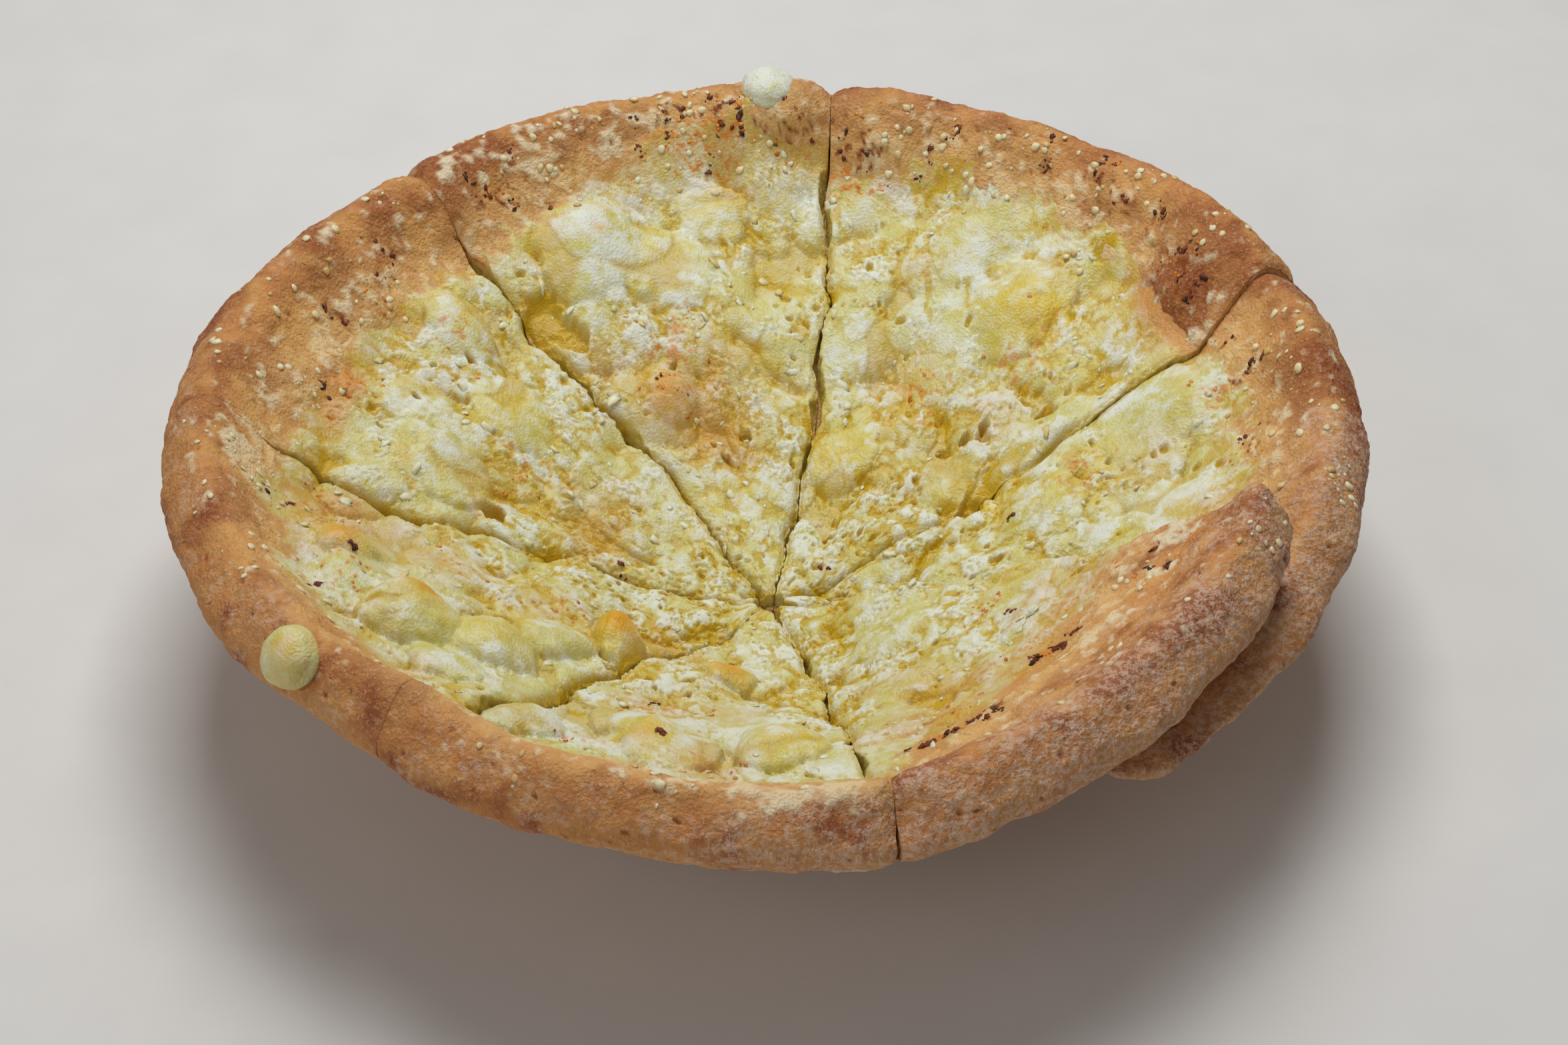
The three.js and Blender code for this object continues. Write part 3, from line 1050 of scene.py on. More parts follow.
class Surface(NodeSheet):
    """The nodes of one material: a Principled shader, and what its colours read."""

    def __init__(self, name: str, groups: SurfaceGroups) -> None:
        """Starts a material whose patterns read the piece's own coordinates.

        Args:
            name: Name of the material.
            groups: The shared groups.
        """
        self.material = bpy.data.materials.new(name)
        self.material.use_nodes = True
        super().__init__(self.material.node_tree)
        self.groups = groups
        self.shader = self.add("ShaderNodeBsdfPrincipled")
        output = self.add("ShaderNodeOutputMaterial")
        self.feed(output.inputs["Surface"], self.shader.outputs[0])
        self.place = self.add("ShaderNodeTexCoord").outputs["Object"]

    def group(self, tree: bpy.types.NodeTree, **values: float) -> bpy.types.Node:
        """Places a shared group.

        Args:
            tree: The group.
            **values: Its value inputs.

        Returns:
            The group's node.
        """
        node = self.add("ShaderNodeGroup", node_tree=tree)
        self.feed(node.inputs["Place"], self.place)
        for name, value in values.items():
            node.inputs[name.capitalize()].default_value = value
        return node

    def mottle(self, broad: float, fine: float) -> bpy.types.NodeSocket:
        """Gives the mask of a soft mottle, with so many broad and fine lumps for each metre."""
        return self.group(self.groups.mottle, broad=broad, fine=fine).outputs["Mask"]

    def baked_masks(self, name: str) -> tuple[bpy.types.NodeSocket, ...]:
        """Reads one set of masks that are baked into the piece.

        Args:
            name: Name of the set.

        Returns:
            Its red, green, blue and alpha.
        """
        attribute = self.add("ShaderNodeAttribute", attribute_name=name)
        parts = self.add("ShaderNodeSeparateColor")
        self.feed(parts.inputs[0], attribute.outputs["Color"])
        return (*parts.outputs, attribute.outputs["Alpha"])

    def coated(self, colour: object, *coats: tuple[object, Colour]) -> bpy.types.NodeSocket:
        """Lays coats over a colour.

        Args:
            colour: The colour below.
            *coats: The share and the colour of each coat, in order.

        Returns:
            The colour on top.
        """
        for share, coat in coats:
            colour = self.mix(share, colour, linear(coat))
        return colour


# How much further red and green light travel in bread and cheese than blue
SCATTER_RADII = (1.0, 0.72, 0.3)


@dataclass(frozen=True)
class Finish:
    """What every finish has: its name, how it scatters light, and its fine grain."""

    name: str
    roughness: float
    bump: float
    subsurface: float
    depth: float
    specular: float = 0.5
    grain_scale: float = 2400.0
    grain_height: float = 0.25

    def make(self, groups: SurfaceGroups) -> bpy.types.Material:
        """Builds the material: constants on the shader's own sockets, then its colour and its grain.

        Args:
            groups: The shared groups.

        Returns:
            The material.
        """
        surface = Surface(self.name, groups)
        sockets = surface.shader.inputs
        sockets["Roughness"].default_value = self.roughness
        sockets["Specular IOR Level"].default_value = self.specular
        sockets["Subsurface Weight"].default_value = self.subsurface
        sockets["Subsurface Scale"].default_value = self.depth * MM
        sockets["Subsurface Radius"].default_value = SCATTER_RADII
        grain = surface.group(groups.grain, scale=self.grain_scale)
        surface.feed(sockets["Base Color"], self.colour(surface, grain.outputs["Specks"]))
        bump = surface.add("ShaderNodeBump")
        bump.inputs["Strength"].default_value = self.bump
        bump.inputs["Distance"].default_value = self.grain_height * MM
        surface.feed(bump.inputs["Height"], grain.outputs["Height"])
        surface.feed(sockets["Normal"], bump.outputs[0])
        return surface.material

    def colour(self, surface: Surface, specks: bpy.types.NodeSocket) -> bpy.types.NodeSocket:
        """Mixes the finish's colour, each kind in its own way."""
        raise NotImplementedError


@dataclass(frozen=True)
class CheeseFinish(Finish):
    """Melted cheese: pale and milky over deeper yellow, with golden painted shade in its hollows, toasted on
    its tops.
    """

    grain_scale: float = 1500.0
    grain_height: float = 0.8
    body: Colour = (221, 219, 159)
    deep: Colour = (211, 202, 104)
    milky: Colour = (232, 237, 228)
    # Golden yellow laid on as painted shade in pits, holes, folds, the low places between curds and at the
    # cuts
    hollow_shade: Colour = (208, 171, 8)
    yolk: Colour = (230, 202, 58)
    toast: Colour = (230, 168, 26)
    browned: Colour = (212, 158, 94)
    rust: Colour = (220, 140, 44)
    milk_roughness: float = 0.2

    def colour(self, surface: Surface, specks: bpy.types.NodeSocket) -> bpy.types.NodeSocket:
        """Lays the baked masks' coats over mottled yellow, the golden painted shade among them, and makes the
        milky parts rougher.

        Args:
            surface: The material's nodes.
            specks: Mask of the grain's specks, which cheese doesn't show.

        Returns:
            The colour.
        """
        toast, milky, hollow_shade, browned = surface.baked_masks("baked")
        yolk, rust = surface.baked_masks("accent")[:2]
        colour = surface.mix(surface.mottle(170.0, 620.0), linear(self.body), linear(self.deep))
        veil = surface.mottle(420.0, 1900.0)
        flecks = surface.math("MULTIPLY_ADD", veil, 0.4, surface.math("MULTIPLY", milky, 0.75))
        milk = surface.spread(flecks, 0.08, 1.12)
        rougher = self.roughness + self.milk_roughness
        surface.feed(surface.shader.inputs["Roughness"],
                     surface.spread(milk, 0.0, 1.0, self.roughness, rougher))
        return surface.coated(colour, (yolk, self.yolk), (milk, self.milky), (toast, self.toast),
                              (hollow_shade, self.hollow_shade), (browned, self.browned), (rust, self.rust))


@dataclass(frozen=True)
class CrustFinish(Finish):
    """Baked crust: golden tan with rosy brown patches, floury grain, cheese smears, pale torn crumb and
    painted shade in its pits and cells.
    """

    grain_scale: float = 1300.0
    grain_height: float = 0.9
    tan: Colour = (206, 140, 80)
    golden: Colour = (222, 166, 96)
    brown: Colour = (150, 80, 44)
    smear: Colour = (240, 231, 200)
    # Painted shade, laid into the crust's small pits and the crumb's open cells
    pit: Colour = (164, 88, 28)
    flour: Colour = (216, 184, 162)
    crumb: Colour = (236, 194, 126)
    rust: Colour = (144, 72, 26)

    def colour(self, surface: Surface, specks: bpy.types.NodeSocket) -> bpy.types.NodeSocket:
        """Lays the baked masks' coats over a mottled tan, with flour caught in the fine dust and grain.

        Args:
            surface: The material's nodes.
            specks: Mask of the grain's specks.

        Returns:
            The colour.
        """
        brown, smear, pit, flour = surface.baked_masks("baked")
        crumb, rust = surface.baked_masks("accent")[:2]
        dust = surface.mottle(700.0, 2600.0)
        colour = surface.mix(surface.mottle(110.0, 520.0), linear(self.tan), linear(self.golden))
        browned = surface.math("MULTIPLY", brown, surface.spread(dust, 0.0, 1.0, 1.0, 0.75))
        floury = surface.math("MULTIPLY", flour, surface.spread(dust, 0.2, 0.9, 0.1, 0.9))
        gritty = surface.math("MULTIPLY", specks, 0.5)
        return surface.coated(colour, (browned, self.brown), (floury, self.flour), (gritty, self.flour),
                              (smear, self.smear), (pit, self.pit), (crumb, self.crumb), (rust, self.rust))


@dataclass(frozen=True)
class CrumbFinish(Finish):
    """Small things scattered on the loaf, each mottled between two colours, darker by its red mask."""

    light: Colour = (240, 232, 200)
    dark: Colour = (231, 213, 163)
    burnt: Colour = (210, 172, 108)
    lumps: float = 600.0

    def colour(self, surface: Surface, specks: bpy.types.NodeSocket) -> bpy.types.NodeSocket:
        """Mottles the light and the dark colour, and burns some bits.

        Args:
            surface: The material's nodes.
            specks: Mask of the grain's specks, which small bits don't show.

        Returns:
            The colour.
        """
        burnt = surface.baked_masks("baked")[0]
        mottle = surface.mottle(self.lumps, self.lumps * 4.0)
        colour = surface.mix(mottle, linear(self.light), linear(self.dark))
        return surface.coated(colour, (burnt, self.burnt))


@dataclass(frozen=True)
class FloorFinish(Finish):
    """A pale plain floor with the faintest mottle."""

    grain_scale: float = 900.0
    grain_height: float = 0.1
    pale: Colour = (226, 225, 223)
    shade: Colour = (221, 220, 219)

    def colour(self, surface: Surface, specks: bpy.types.NodeSocket) -> bpy.types.NodeSocket:
        """Mottles the two pale colours."""
        return surface.mix(surface.mottle(3.0, 40.0), linear(self.pale), linear(self.shade))


@dataclass(frozen=True)
class Cluster:
    """Some scattered bits: the middle's angle and distance, how many, and how wide they spread."""

    angle: float
    distance: float
    number: int
    spread: float


def clusters(*rows: tuple[float, float, int, float]) -> tuple[Cluster, ...]:
    """Makes a cluster of each row of an angle, a distance, a number and a spread."""
    return tuple(Cluster(*row) for row in rows)


FLAKES = clusters(
    (78, 112, 9, 4.5), (71, 106, 9, 4.0), (81, 106, 8, 4.5), (67, 116, 7, 3.0), (56, 116, 12, 3.5),
    (49, 118, 16, 2.6), (44, 116, 8, 3.0), (38, 116, 10, 2.6), (34, 112, 6, 2.5), (30, 113, 12, 3.0),
    (26.5, 109.5, 10, 3.0), (32, 14, 4, 1.0), (105, 114, 10, 4.5), (93, 114.5, 10, 4.0), (86, 113, 6, 3.0),
    (98, 110, 8, 5.0), (129, 110, 10, 3.5), (123, 110, 9, 4.0), (145, 109.5, 10, 3.0), (156, 109, 7, 3.0),
    (168, 104, 5, 3.0), (192, 108, 6, 4.0), (205, 107, 5, 3.0), (200, 98, 4, 3.0), (243, 62, 4, 4.0),
    (255, 92, 4, 6.0), (287, 91, 9, 1.6), (290, 91.5, 16, 1.0), (293, 92.4, 16, 1.0), (296, 93.6, 14, 1.0),
    (299, 94, 12, 1.0), (310, 84.6, 16, 1.0), (312.5, 86.4, 16, 1.0), (316, 87, 6, 1.4), (327, 96, 8, 2.0),
    (330, 90, 6, 1.6), (321, 66, 4, 1.5), (12, 108.5, 7, 3.0), (19, 109, 6, 3.0), (2, 106, 5, 3.0),
    (8, 52, 4, 1.6), (116, 60, 4, 2.4), (176, 34, 4, 2.0), (97, 113, 12, 4.0), (89, 115, 8, 3.0),
    (102, 115, 10, 3.0),
)
SPECKS = clusters(
    (78, 109, 14, 6.0), (62, 112, 12, 6.0), (47, 113, 12, 5.0), (30, 110, 12, 4.0), (55, 60, 5, 9.0),
    (40, 80, 5, 9.0), (100, 112, 16, 8.0), (126, 109, 10, 4.0), (115, 57, 12, 5.0), (110, 70, 6, 9.0),
    (148, 107, 10, 5.0), (164, 98, 8, 5.0), (160, 58, 7, 8.0), (146, 86, 5, 7.0), (186, 98, 10, 6.0),
    (203, 98, 12, 6.0), (196, 72, 8, 8.0), (205, 48, 8, 6.0), (214, 30, 7, 4.0), (244, 88, 8, 6.0),
    (262, 88, 8, 6.0), (250, 62, 8, 6.0), (296, 84, 12, 6.0), (312, 80, 12, 6.0), (325, 84, 12, 5.0),
    (322, 58, 10, 4.0), (330, 100, 8, 4.0), (12, 104, 12, 6.0), (0, 104, 10, 5.0), (12, 70, 5, 8.0),
    (95, 114, 16, 5.0), (88, 113, 10, 4.0),
)
CRUMBS = clusters(
    (-11, 122, 9, 2.6), (-13, 126, 9, 2.4), (-8, 127, 8, 2.6), (197, 127, 6, 4.0), (247, 125, 3, 2.5),
    (31, 120, 9, 5.0), (42, 121, 9, 6.0), (55, 121, 8, 7.0), (70, 118, 7, 6.0), (95, 119, 7, 7.0),
    (112, 120, 6, 6.0), (126, 117, 6, 5.0), (140, 116, 5, 5.0), (160, 118, 5, 6.0), (172, 118, 5, 5.0),
    (187, 120, 8, 5.0), (205, 120, 5, 6.0), (330, 116, 8, 5.0), (310, 105, 5, 6.0), (0, 118, 7, 6.0),
    (15, 118, 7, 5.0), (62, 112, 22, 8.0), (46, 111, 18, 7.0), (75, 112, 14, 6.0), (100, 113, 26, 8.0),
    (90, 112, 18, 6.0), (118, 110, 14, 6.0), (150, 108, 16, 7.0), (168, 107, 18, 6.0), (188, 110, 20, 6.0),
    (208, 108, 10, 6.0), (10, 111, 16, 7.0), (262, 114, 10, 8.0), (325, 92, 12, 6.0),
)


def stain(given: tuple[Cluster, ...], place: Array) -> Array:
    """Gives the share by which oil from scattered bits has stained the surface round them.

    Bells round the clusters are broken up into blotches by swells 2.4 and 1.1 mm apart.

    Args:
        given: The scattered bits.
        place: Points on the surface.

    Returns:
        The stain's share at each point.
    """
    oily = tuple(Spot(each.angle, each.distance, 1.25 * each.spread + 1.0) for each in given)
    near = np.clip(spotted(oily, place[..., 0], place[..., 1]), 0.0, 1.0)
    blotch = swells(place, Seed.RUST + 1, (0.7, 2.4), (0.7, 1.1))
    return ramp(0.9 * near + blotch, 0.95, 1.4) * ramp(near, 0.1, 0.5)


def crease(start: Spot, end: Spot, number: int = 9) -> tuple[Spot, ...]:
    """Strings narrow spots along the line between two spots.

    Args:
        start: Spot at one end, which gives the width and the strength.
        end: Spot at the other end.
        number: Number of spots.

    Returns:
        The spots.
    """
    part = np.linspace(0.0, 1.0, number)
    angle = lerp(start.angle, end.angle, part)
    distance = lerp(start.distance, end.distance, part)
    return tuple(Spot(*pair, start.half_width, start.strength) for pair in zip(angle, distance))


SINGED = (
    *crease(Spot(-70, 91.5, 0.9, 0.7), Spot(-66, 92.5, 0.9)),
    *crease(Spot(-64.5, 93.5, 0.9, 0.7), Spot(-60.5, 94, 0.9)),
    *crease(Spot(-50.5, 84, 1.0, 0.8), Spot(-47, 87, 1.0)),
    *crease(Spot(-34, 93, 1.0, 0.6), Spot(-30.5, 92, 1.0), 5),
    *crease(Spot(-56, 88, 1.2, 0.35), Spot(-52, 86, 1.2)),
)
HOLES = spots(
    (42.6, 107, 2.6, 2.6), (29.5, 72.8, 2.2, 2.2), (34.2, 59, 1.6, 2.0), (36.5, 61, 1.3, 2.0),
    (38, 57, 1.4, 1.8), (40, 52, 1.7, 2.2), (11.9, 78, 1.2, 1.0), (130, 84, 4.5, 2.6),
    (127.6, 76, 3.2, 2.4), (98, 44, 1.3, 1.8), (104, 40, 1.2, 1.8), (112, 62, 1.2, 1.4),
    (147, 83, 1.3, 1.6), (152, 88, 1.1, 1.5), (160, 86, 1.1, 1.5), (175, 62, 2.6, 2.2),
    (20.5, 48, 2.6, 2.4),
)
LOBES = spots(
    (87.5, 116, 8, 2.6), (78, 112, 10, 1.8), (62, 113, 8, 1.2), (28.5, 108.5, 8, 2.6), (150, 112, 9, 1.2),
    (168, 111, 8, 1.2), (104, 113, 8, 1.0), (164.5, 100.5, 5, 1.4),
)
DOMES = spots(
    (213.5, 89, 10.5, 6.6), (221, 76, 9.5, 5.8), (220, 60, 8.5, 4.6), (224.5, 46, 7.0, 6.0),
    (197, 94, 6.5, 3.6), (204, 97, 6.0, 3.0), (224, 92, 7.0, 3.6), (196, 70, 9.0, 1.8),
    (255, 81, 11.0, 3.4), (272, 76, 10.0, 3.2), (256, 37, 7.0, 3.4), (236, 92, 8.0, 3.0),
    (244, 74, 7.0, 1.6), (264, 60, 8.0, 1.4), (119, 92, 13.5, 3.0), (107, 84, 11.0, 2.0),
    (98, 98, 9.0, 1.6), (117, 54, 5.0, 2.2), (149, 70, 11.0, 2.2), (143, 91, 8.5, 2.4), (171, 72, 9.0, 2.6),
    (160, 86, 8.0, 1.6), (48, 86, 13.0, 2.0), (60, 96, 10.0, 1.4), (66, 40, 8.0, 1.5), (34, 48, 8.0, 1.2),
    (72, 66, 9.0, 1.4), (16, 90, 12.0, 1.8), (8, 62, 10.0, 1.6), (-2, 88, 9.0, 1.4), (312, 40, 9.0, 1.4),
    (296, 58, 8.0, 1.2), (326, 64, 9.0, 1.2),
)
YOLKY = spots(
    (47, 86, 9, 0.75), (41, 88, 6, 0.7), (69, 39, 7, 0.8), (108, 88, 7, 0.4), (149, 69, 8, 0.5),
    (142, 90, 6, 0.5), (165, 54, 7, 0.55), (20, 50, 5, 0.8), (13, 75, 7, 0.35), (100, 66, 6, 0.4),
    (213, 85, 7, 0.4), (215, 66, 7, 0.35), (252, 80, 7, 0.6), (274, 76, 7, 0.5), (330, 60, 8, 0.3),
    (60, 52, 6, 0.35), (221, 76, 8, 0.5), (224, 47, 7, 0.7), (196, 94, 5, 0.7), (173, 82, 6, 0.5),
)
MILKY = spots(
    (120, 98, 8, 0.7), (116, 90, 7, 0.8), (56, 92, 8, 0.6), (70, 66, 7, 0.5), (99, 33, 8, 0.5),
    (160, 78, 9, 0.6), (140, 84, 6, 0.5), (240, 88, 8, 0.9), (262, 84, 8, 0.5), (320, 70, 12, 0.5),
    (0, 90, 10, 0.5), (30, 92, 6, 0.5), (200, 104, 8, 0.5), (250, 70, 10, 0.4), (268, 66, 9, 0.4),
    (112, 75, 10, 0.35), (96, 88, 10, 0.35), (150, 80, 9, 0.3), (170, 60, 8, 0.3), (98, 112, 6, 0.5),
    (258, 78, 18, 0.3), (305, 64, 20, 0.22), (110, 86, 18, 0.2),
)
PEACHY = spots(
    (115, 52, 10, 0.6), (104, 45, 8, 0.5), (100, 60, 8, 0.4), (158, 42, 9, 0.5), (168, 66, 6, 0.4),
    (126, 66, 7, 0.4), (190, 84, 8, 0.5), (196, 74, 8, 0.45), (205, 54, 8, 0.45), (230, 34, 7, 0.5),
    (246, 62, 8, 0.5), (262, 88, 8, 0.5), (262, 58, 7, 0.4), (290, 76, 8, 0.55), (305, 80, 8, 0.5),
    (318, 80, 8, 0.5), (328, 74, 8, 0.4), (300, 60, 7, 0.4), (60, 64, 8, 0.3), (36, 64, 8, 0.35),
    (66, 88, 6, 0.3), (8, 84, 7, 0.3), (352, 96, 8, 0.4), (186, 102, 8, 0.5), (95, 113, 9, 0.6),
    (104, 112, 8, 0.55), (88, 111, 6, 0.5), (111, 109, 7, 0.4), (193, 92, 5, 0.7), (184.5, 92, 4.5, 0.7),
)
TOASTED = spots(
    (117.5, 54, 4.2, 0.7), (113, 60, 5, 0.3), (222, 43.5, 4.4, 1.2), (256, 37, 4.6, 1.0),
    (208, 85, 4.6, 1.0), (212, 83, 4.0, 0.7), (197, 95, 4.0, 0.9), (252, 83, 4, 0.4),
    (116.5, 92.5, 1.6, 0.5), (97, 40, 4, 0.35), (108, 46, 4, 0.35), (262, 92, 4, 0.5), (301, 70, 5, 0.5),
    (295, 82, 5, 0.5), (315, 84, 5, 0.45), (190, 100, 6, 0.5), (184.5, 92, 4, 0.6), (193, 92, 4, 0.5),
    (225, 102, 5, 0.4),
)
COVERED = spots(
    (95, 112, 8, 1.4), (104, 113, 8, 1.1), (88, 109, 6, 0.9), (66, 110, 8, 0.9), (54, 108, 7, 0.7),
    (43, 107, 6, 0.9), (76, 107, 6, -0.7), (112, 108, 6, 0.7), (268, 114, 6, 1.0), (256, 113, 6, 0.5),
    (276, 115, 5, 0.9), (240, 113, 5, 0.7), (230, 112, 5, 0.6), (204, 108, 6, 0.7), (190, 110, 6, 0.8),
)
SCORCHED = spots(
    (28.5, 109, 8, 1.3), (25, 106.5, 6, 1.0), (32.5, 106.5, 5.5, 0.8), (164.5, 100, 5.5, 1.2),
    (170.7, 97.7, 4.5, 0.9), (155, 111, 7, 0.5), (174, 116, 9, 0.4), (143, 112, 6, 0.5), (112, 116, 8, 0.4),
    (80, 116, 8, 0.45), (5, 121, 10, 0.4), (-70, 92, 4, 0.9), (-64, 92, 4, 0.8), (-57, 91, 4, 0.7),
    (-49, 87, 4, 0.9), (-42, 87, 4, 0.6), (-33, 90, 5, 0.6), (220, 112, 8, 0.45), (196, 112, 8, 0.4),
    (250, 106, 7, 0.4), (266, 108, 7, 0.5), (-30, 108, 10, 0.3),
)
SMEARED = spots(
    (-46.6, 96, 3.5, 0.9), (-43, 97, 3, 0.8), (181, 113, 4, 0.9), (186, 116, 4, 0.9), (190, 112, 4, 0.6),
    (76, 110, 5, 0.5), (68, 112, 4, 0.5), (58, 110, 5, 0.6), (50, 108, 5, 0.6), (110, 113, 4, 0.5),
    (100, 112, 5, 0.5), (20, 108, 4, 0.5), (-6, 108, 4, 0.5), (275, 110, 4, 0.6), (268, 104, 4, 0.5),
    (-28, 96, 5, 0.7), (-35, 98, 4, 0.5), (240, 104, 4, 0.5), (205, 112, 4, 0.4), (260, 106, 3, 0.5),
    (268, 122, 4, 0.9), (271, 123, 4, 0.9), (275, 123, 5, 0.9), (278, 124, 4, 0.7), (262, 120, 4, 0.6),
    (254, 118, 4, 0.5), (246, 121, 3, 0.6), (187, 118, 6, 0.6), (77, 114, 6, 0.5), (70, 116, 5, 0.45),
    (61, 116, 6, 0.5), (52, 114, 6, 0.5), (45, 113, 5, 0.5), (38, 111, 5, 0.45), (92, 116, 5, 0.5),
    (104, 117, 5, 0.4), (120, 112, 5, 0.45), (142, 110, 6, 0.5), (152, 110, 6, 0.5), (161, 107, 6, 0.6),
    (172, 110, 6, 0.6), (13, 110, 6, 0.5), (2, 112, 5, 0.5), (-5, 114, 5, 0.4),
)


@dataclass(frozen=True)
class Melt:
    """How the cheese has melted at each point: foams, steps, pits, its lip at the cuts and its film."""

    place: Array
    warped: tuple[Array, Array]
    skin: Array
    curdled: Array
    broad: Array
    middle: Array
    curd: Array
    fine: Array
    ledge: Array
    step: Array
    pit: Array
    holed: Array
    lip: Array
    thin: Array
    scorched: Array
    patch: Array
    film: Array


@dataclass
class CheeseLayer:
    """The melted cheese on one slice: a bubbled sheet with torn cut edges that thins out on the crust."""

    plan: SlicePlan
    loaf: Loaf
    spacing: float = 0.41
    film_reach: float = 18.0
    hidden_columns: int = 30
    hidden_share: float = 0.3
    layers: int = 6
    under_columns: int = 9
    foams: Triple = (13.0, 5.2, 2.5)
    pit_spacing: Pair = (4.2, 2.3)
    pit_depth: float = 1.6
    hole_depth: float = 3.6
    points: Array = field(init=False)
    normals: Array = field(init=False)

    def columns(self) -> Array:
        """Lays out the sheet's columns, fewer where a neighbour hides them.

        Returns:
            Their shares across.
        """
        width = self.plan.width() * self.plan.cheese[0]
        number = int(width / self.spacing)
        if self.plan.role is not Role.CARRIER:
            return np.linspace(0.0, 1.0, number)
        shown = np.linspace(self.hidden_share, 1.0, int(number * (1.0 - self.hidden_share)))
        return np.concatenate([np.linspace(0.0, self.hidden_share, self.hidden_columns)[:-1], shown])

    def tooth(self, distance: Array, side: int) -> Array:
        """Gives how far the torn edge at a cut stands back: pockets with teeth.

        Args:
            distance: Distance from the middle.
            side: 0 for the first cut and 1 for the second.

        Returns:
            The depth in millimetres, less than 0 where the edge stands past the cut.
        """
        line = np.stack([distance, np.full_like(distance, self.plan.cut[side]), 0.0 * distance], axis=-1)
        pocket = ramp(swell(line, 10.0, Seed.TOOTH + side), 0.0, 0.6)
        fine = np.abs(swell(line, 2.3, Seed.TOOTH + 2 + side))
        return self.plan.tear[side] * (2.0 * pocket + 1.2 * fine) - 0.7

    def grid(self) -> tuple[Array, Array]:
        """Lays out the top sheet.

        Returns:
            The distance from the middle and the share across, each with a row for every step
            outwards and a column for every step across.
        """
        columns = self.columns()[None, :]
        end = self.loaf.cheese_end(self.plan, columns)
        rows = np.linspace(0.0, 1.0, int((end.mean() + self.film_reach - self.plan.tip) / self.spacing))
        rows = rows[:, None]
        distance = self.plan.tip + (end + self.film_reach - self.plan.tip) * rows
        along = distance.mean(axis=1)
        arc = self.plan.width() * along
        spare = [self.loaf.spare(self.plan, side, along) for side in (0, 1)]
        back = [np.clip(self.tooth(along, side) / arc, -spare[side], 0.12)[:, None] for side in (0, 1)]
        across = back[0] + columns * (1.0 - back[0] - back[1])
        return distance, across

    def melt(self, distance: Array, across: Array) -> tuple[Array, Melt]:
        """Works out the bubbled surface.

        Over the body's top lie foams of bubbles 13, 5 and 2.5 mm apart, placed domes, torn steps
        and pits. Towards the crust all of it fades into a film whose height is a noise minus a
        slope, so that it breaks up into patches where it dips into the crust.

        Args:
            distance: Distance from the middle.
            across: Share across.

        Returns:
            The points, and how the cheese has melted there.
        """
        plan = self.plan
        body = self.loaf.body(plan, distance / self.loaf.radius, across)
        place = np.stack([body.x, body.y, body.top], axis=-1)
        warped_x = body.x + swell(place, 3.4, Seed.TEAR)
        warped_y = body.y + swell(place, 3.4, Seed.TEAR + 1)
        bent_x = body.x + 4.0 * swell(place, 16.0, Seed.TEAR + 3)
        bent_y = body.y + 4.0 * swell(place, 16.0, Seed.TEAR + 4)
        shifted_x = warped_x + 0.7 * (bent_x - body.x)
        shifted_y = warped_y + 0.7 * (bent_y - body.y)
        dome = np.max([spot.cap(shifted_x, shifted_y) for spot in plan.own(DOMES)], axis=0)
        skin = ramp(dome, 0.0, 1.2)
        inward = 0.5 * ramp(distance, 84.0, 58.0) - 0.15
        curdled = ramp(swell(place, 24.0, Seed.REGION) + inward, -0.35, 0.3) * (1.0 - 0.6 * skin)
        broad = bubbles(bent_x, bent_y, self.foams[0], Seed.BILLOW)
        middle = bubbles(warped_x, warped_y, self.foams[1], Seed.BILLOW + 1)
        curd = bubbles(warped_x, warped_y, self.foams[2], Seed.CURD)
        fine = swell(place, 1.2, Seed.BILLOW + 3)
        rise = 0.32 * broad * (1.0 - 0.6 * skin) + lerp(0.12, 0.23, curdled) * middle * (1.0 - 0.5 * skin)
        rise = rise + lerp(0.08, 0.24, curdled) * curd + lerp(0.06, 0.13, curdled) * fine + dome
        ledge = swell(place, 9.0, Seed.TEAR + 2) + 0.5 * fine
        step = ramp(ledge, 0.1, 0.26)
        pit = self.pits(place, warped_x, warped_y) * (1.0 - skin)
        holed = ramp(spotted(HOLES, warped_x, warped_y), 0.5, 1.3)
        rise = rise + 0.5 * (step - 0.5) * (1.0 - skin) - self.pit_depth * pit - self.hole_depth * holed
        from_cut = np.minimum(across, 1.0 - across) * (plan.width() * distance)
        lip = bell(np.maximum(from_cut, 0.0), 0.7)
        rise = np.maximum(rise, -3.4 - 0.9 * holed) * ramp(from_cut, -2.4, -0.4) - 0.5 * lip
        bare = lerp(*plan.bare, across)
        thin = ramp(distance, bare - 8.0, bare + 2.0)
        scorched = np.clip(spotted(SCORCHED, body.x, body.y), 0.0, 1.0)
        patch = swells(place, Seed.FILM, (0.55, 8.0), (0.6, 2.8))
        patch = patch + 0.3 * fine - 1.8 * scorched + spotted(COVERED, body.x, body.y)
        film = 0.7 * patch + 0.13 * (bare + 2.5 - distance) - 2.0 * ramp(distance, bare + 3.0, bare + 7.0)
        film = np.clip(film, -2.2, 0.8)
        bumps = crust_bumps(self.loaf.drawn_out(plan, body, body.top)) + spotted(LOBES, body.x, body.y)
        height = body.top + lerp(rise * body.free, film + bumps, thin)
        melt = Melt(place, (warped_x, warped_y), skin, curdled, broad, middle, curd, fine, ledge, step,
                    pit, holed, lip, thin, scorched, patch, film)
        return self.loaf.drawn_out(plan, body, height), melt

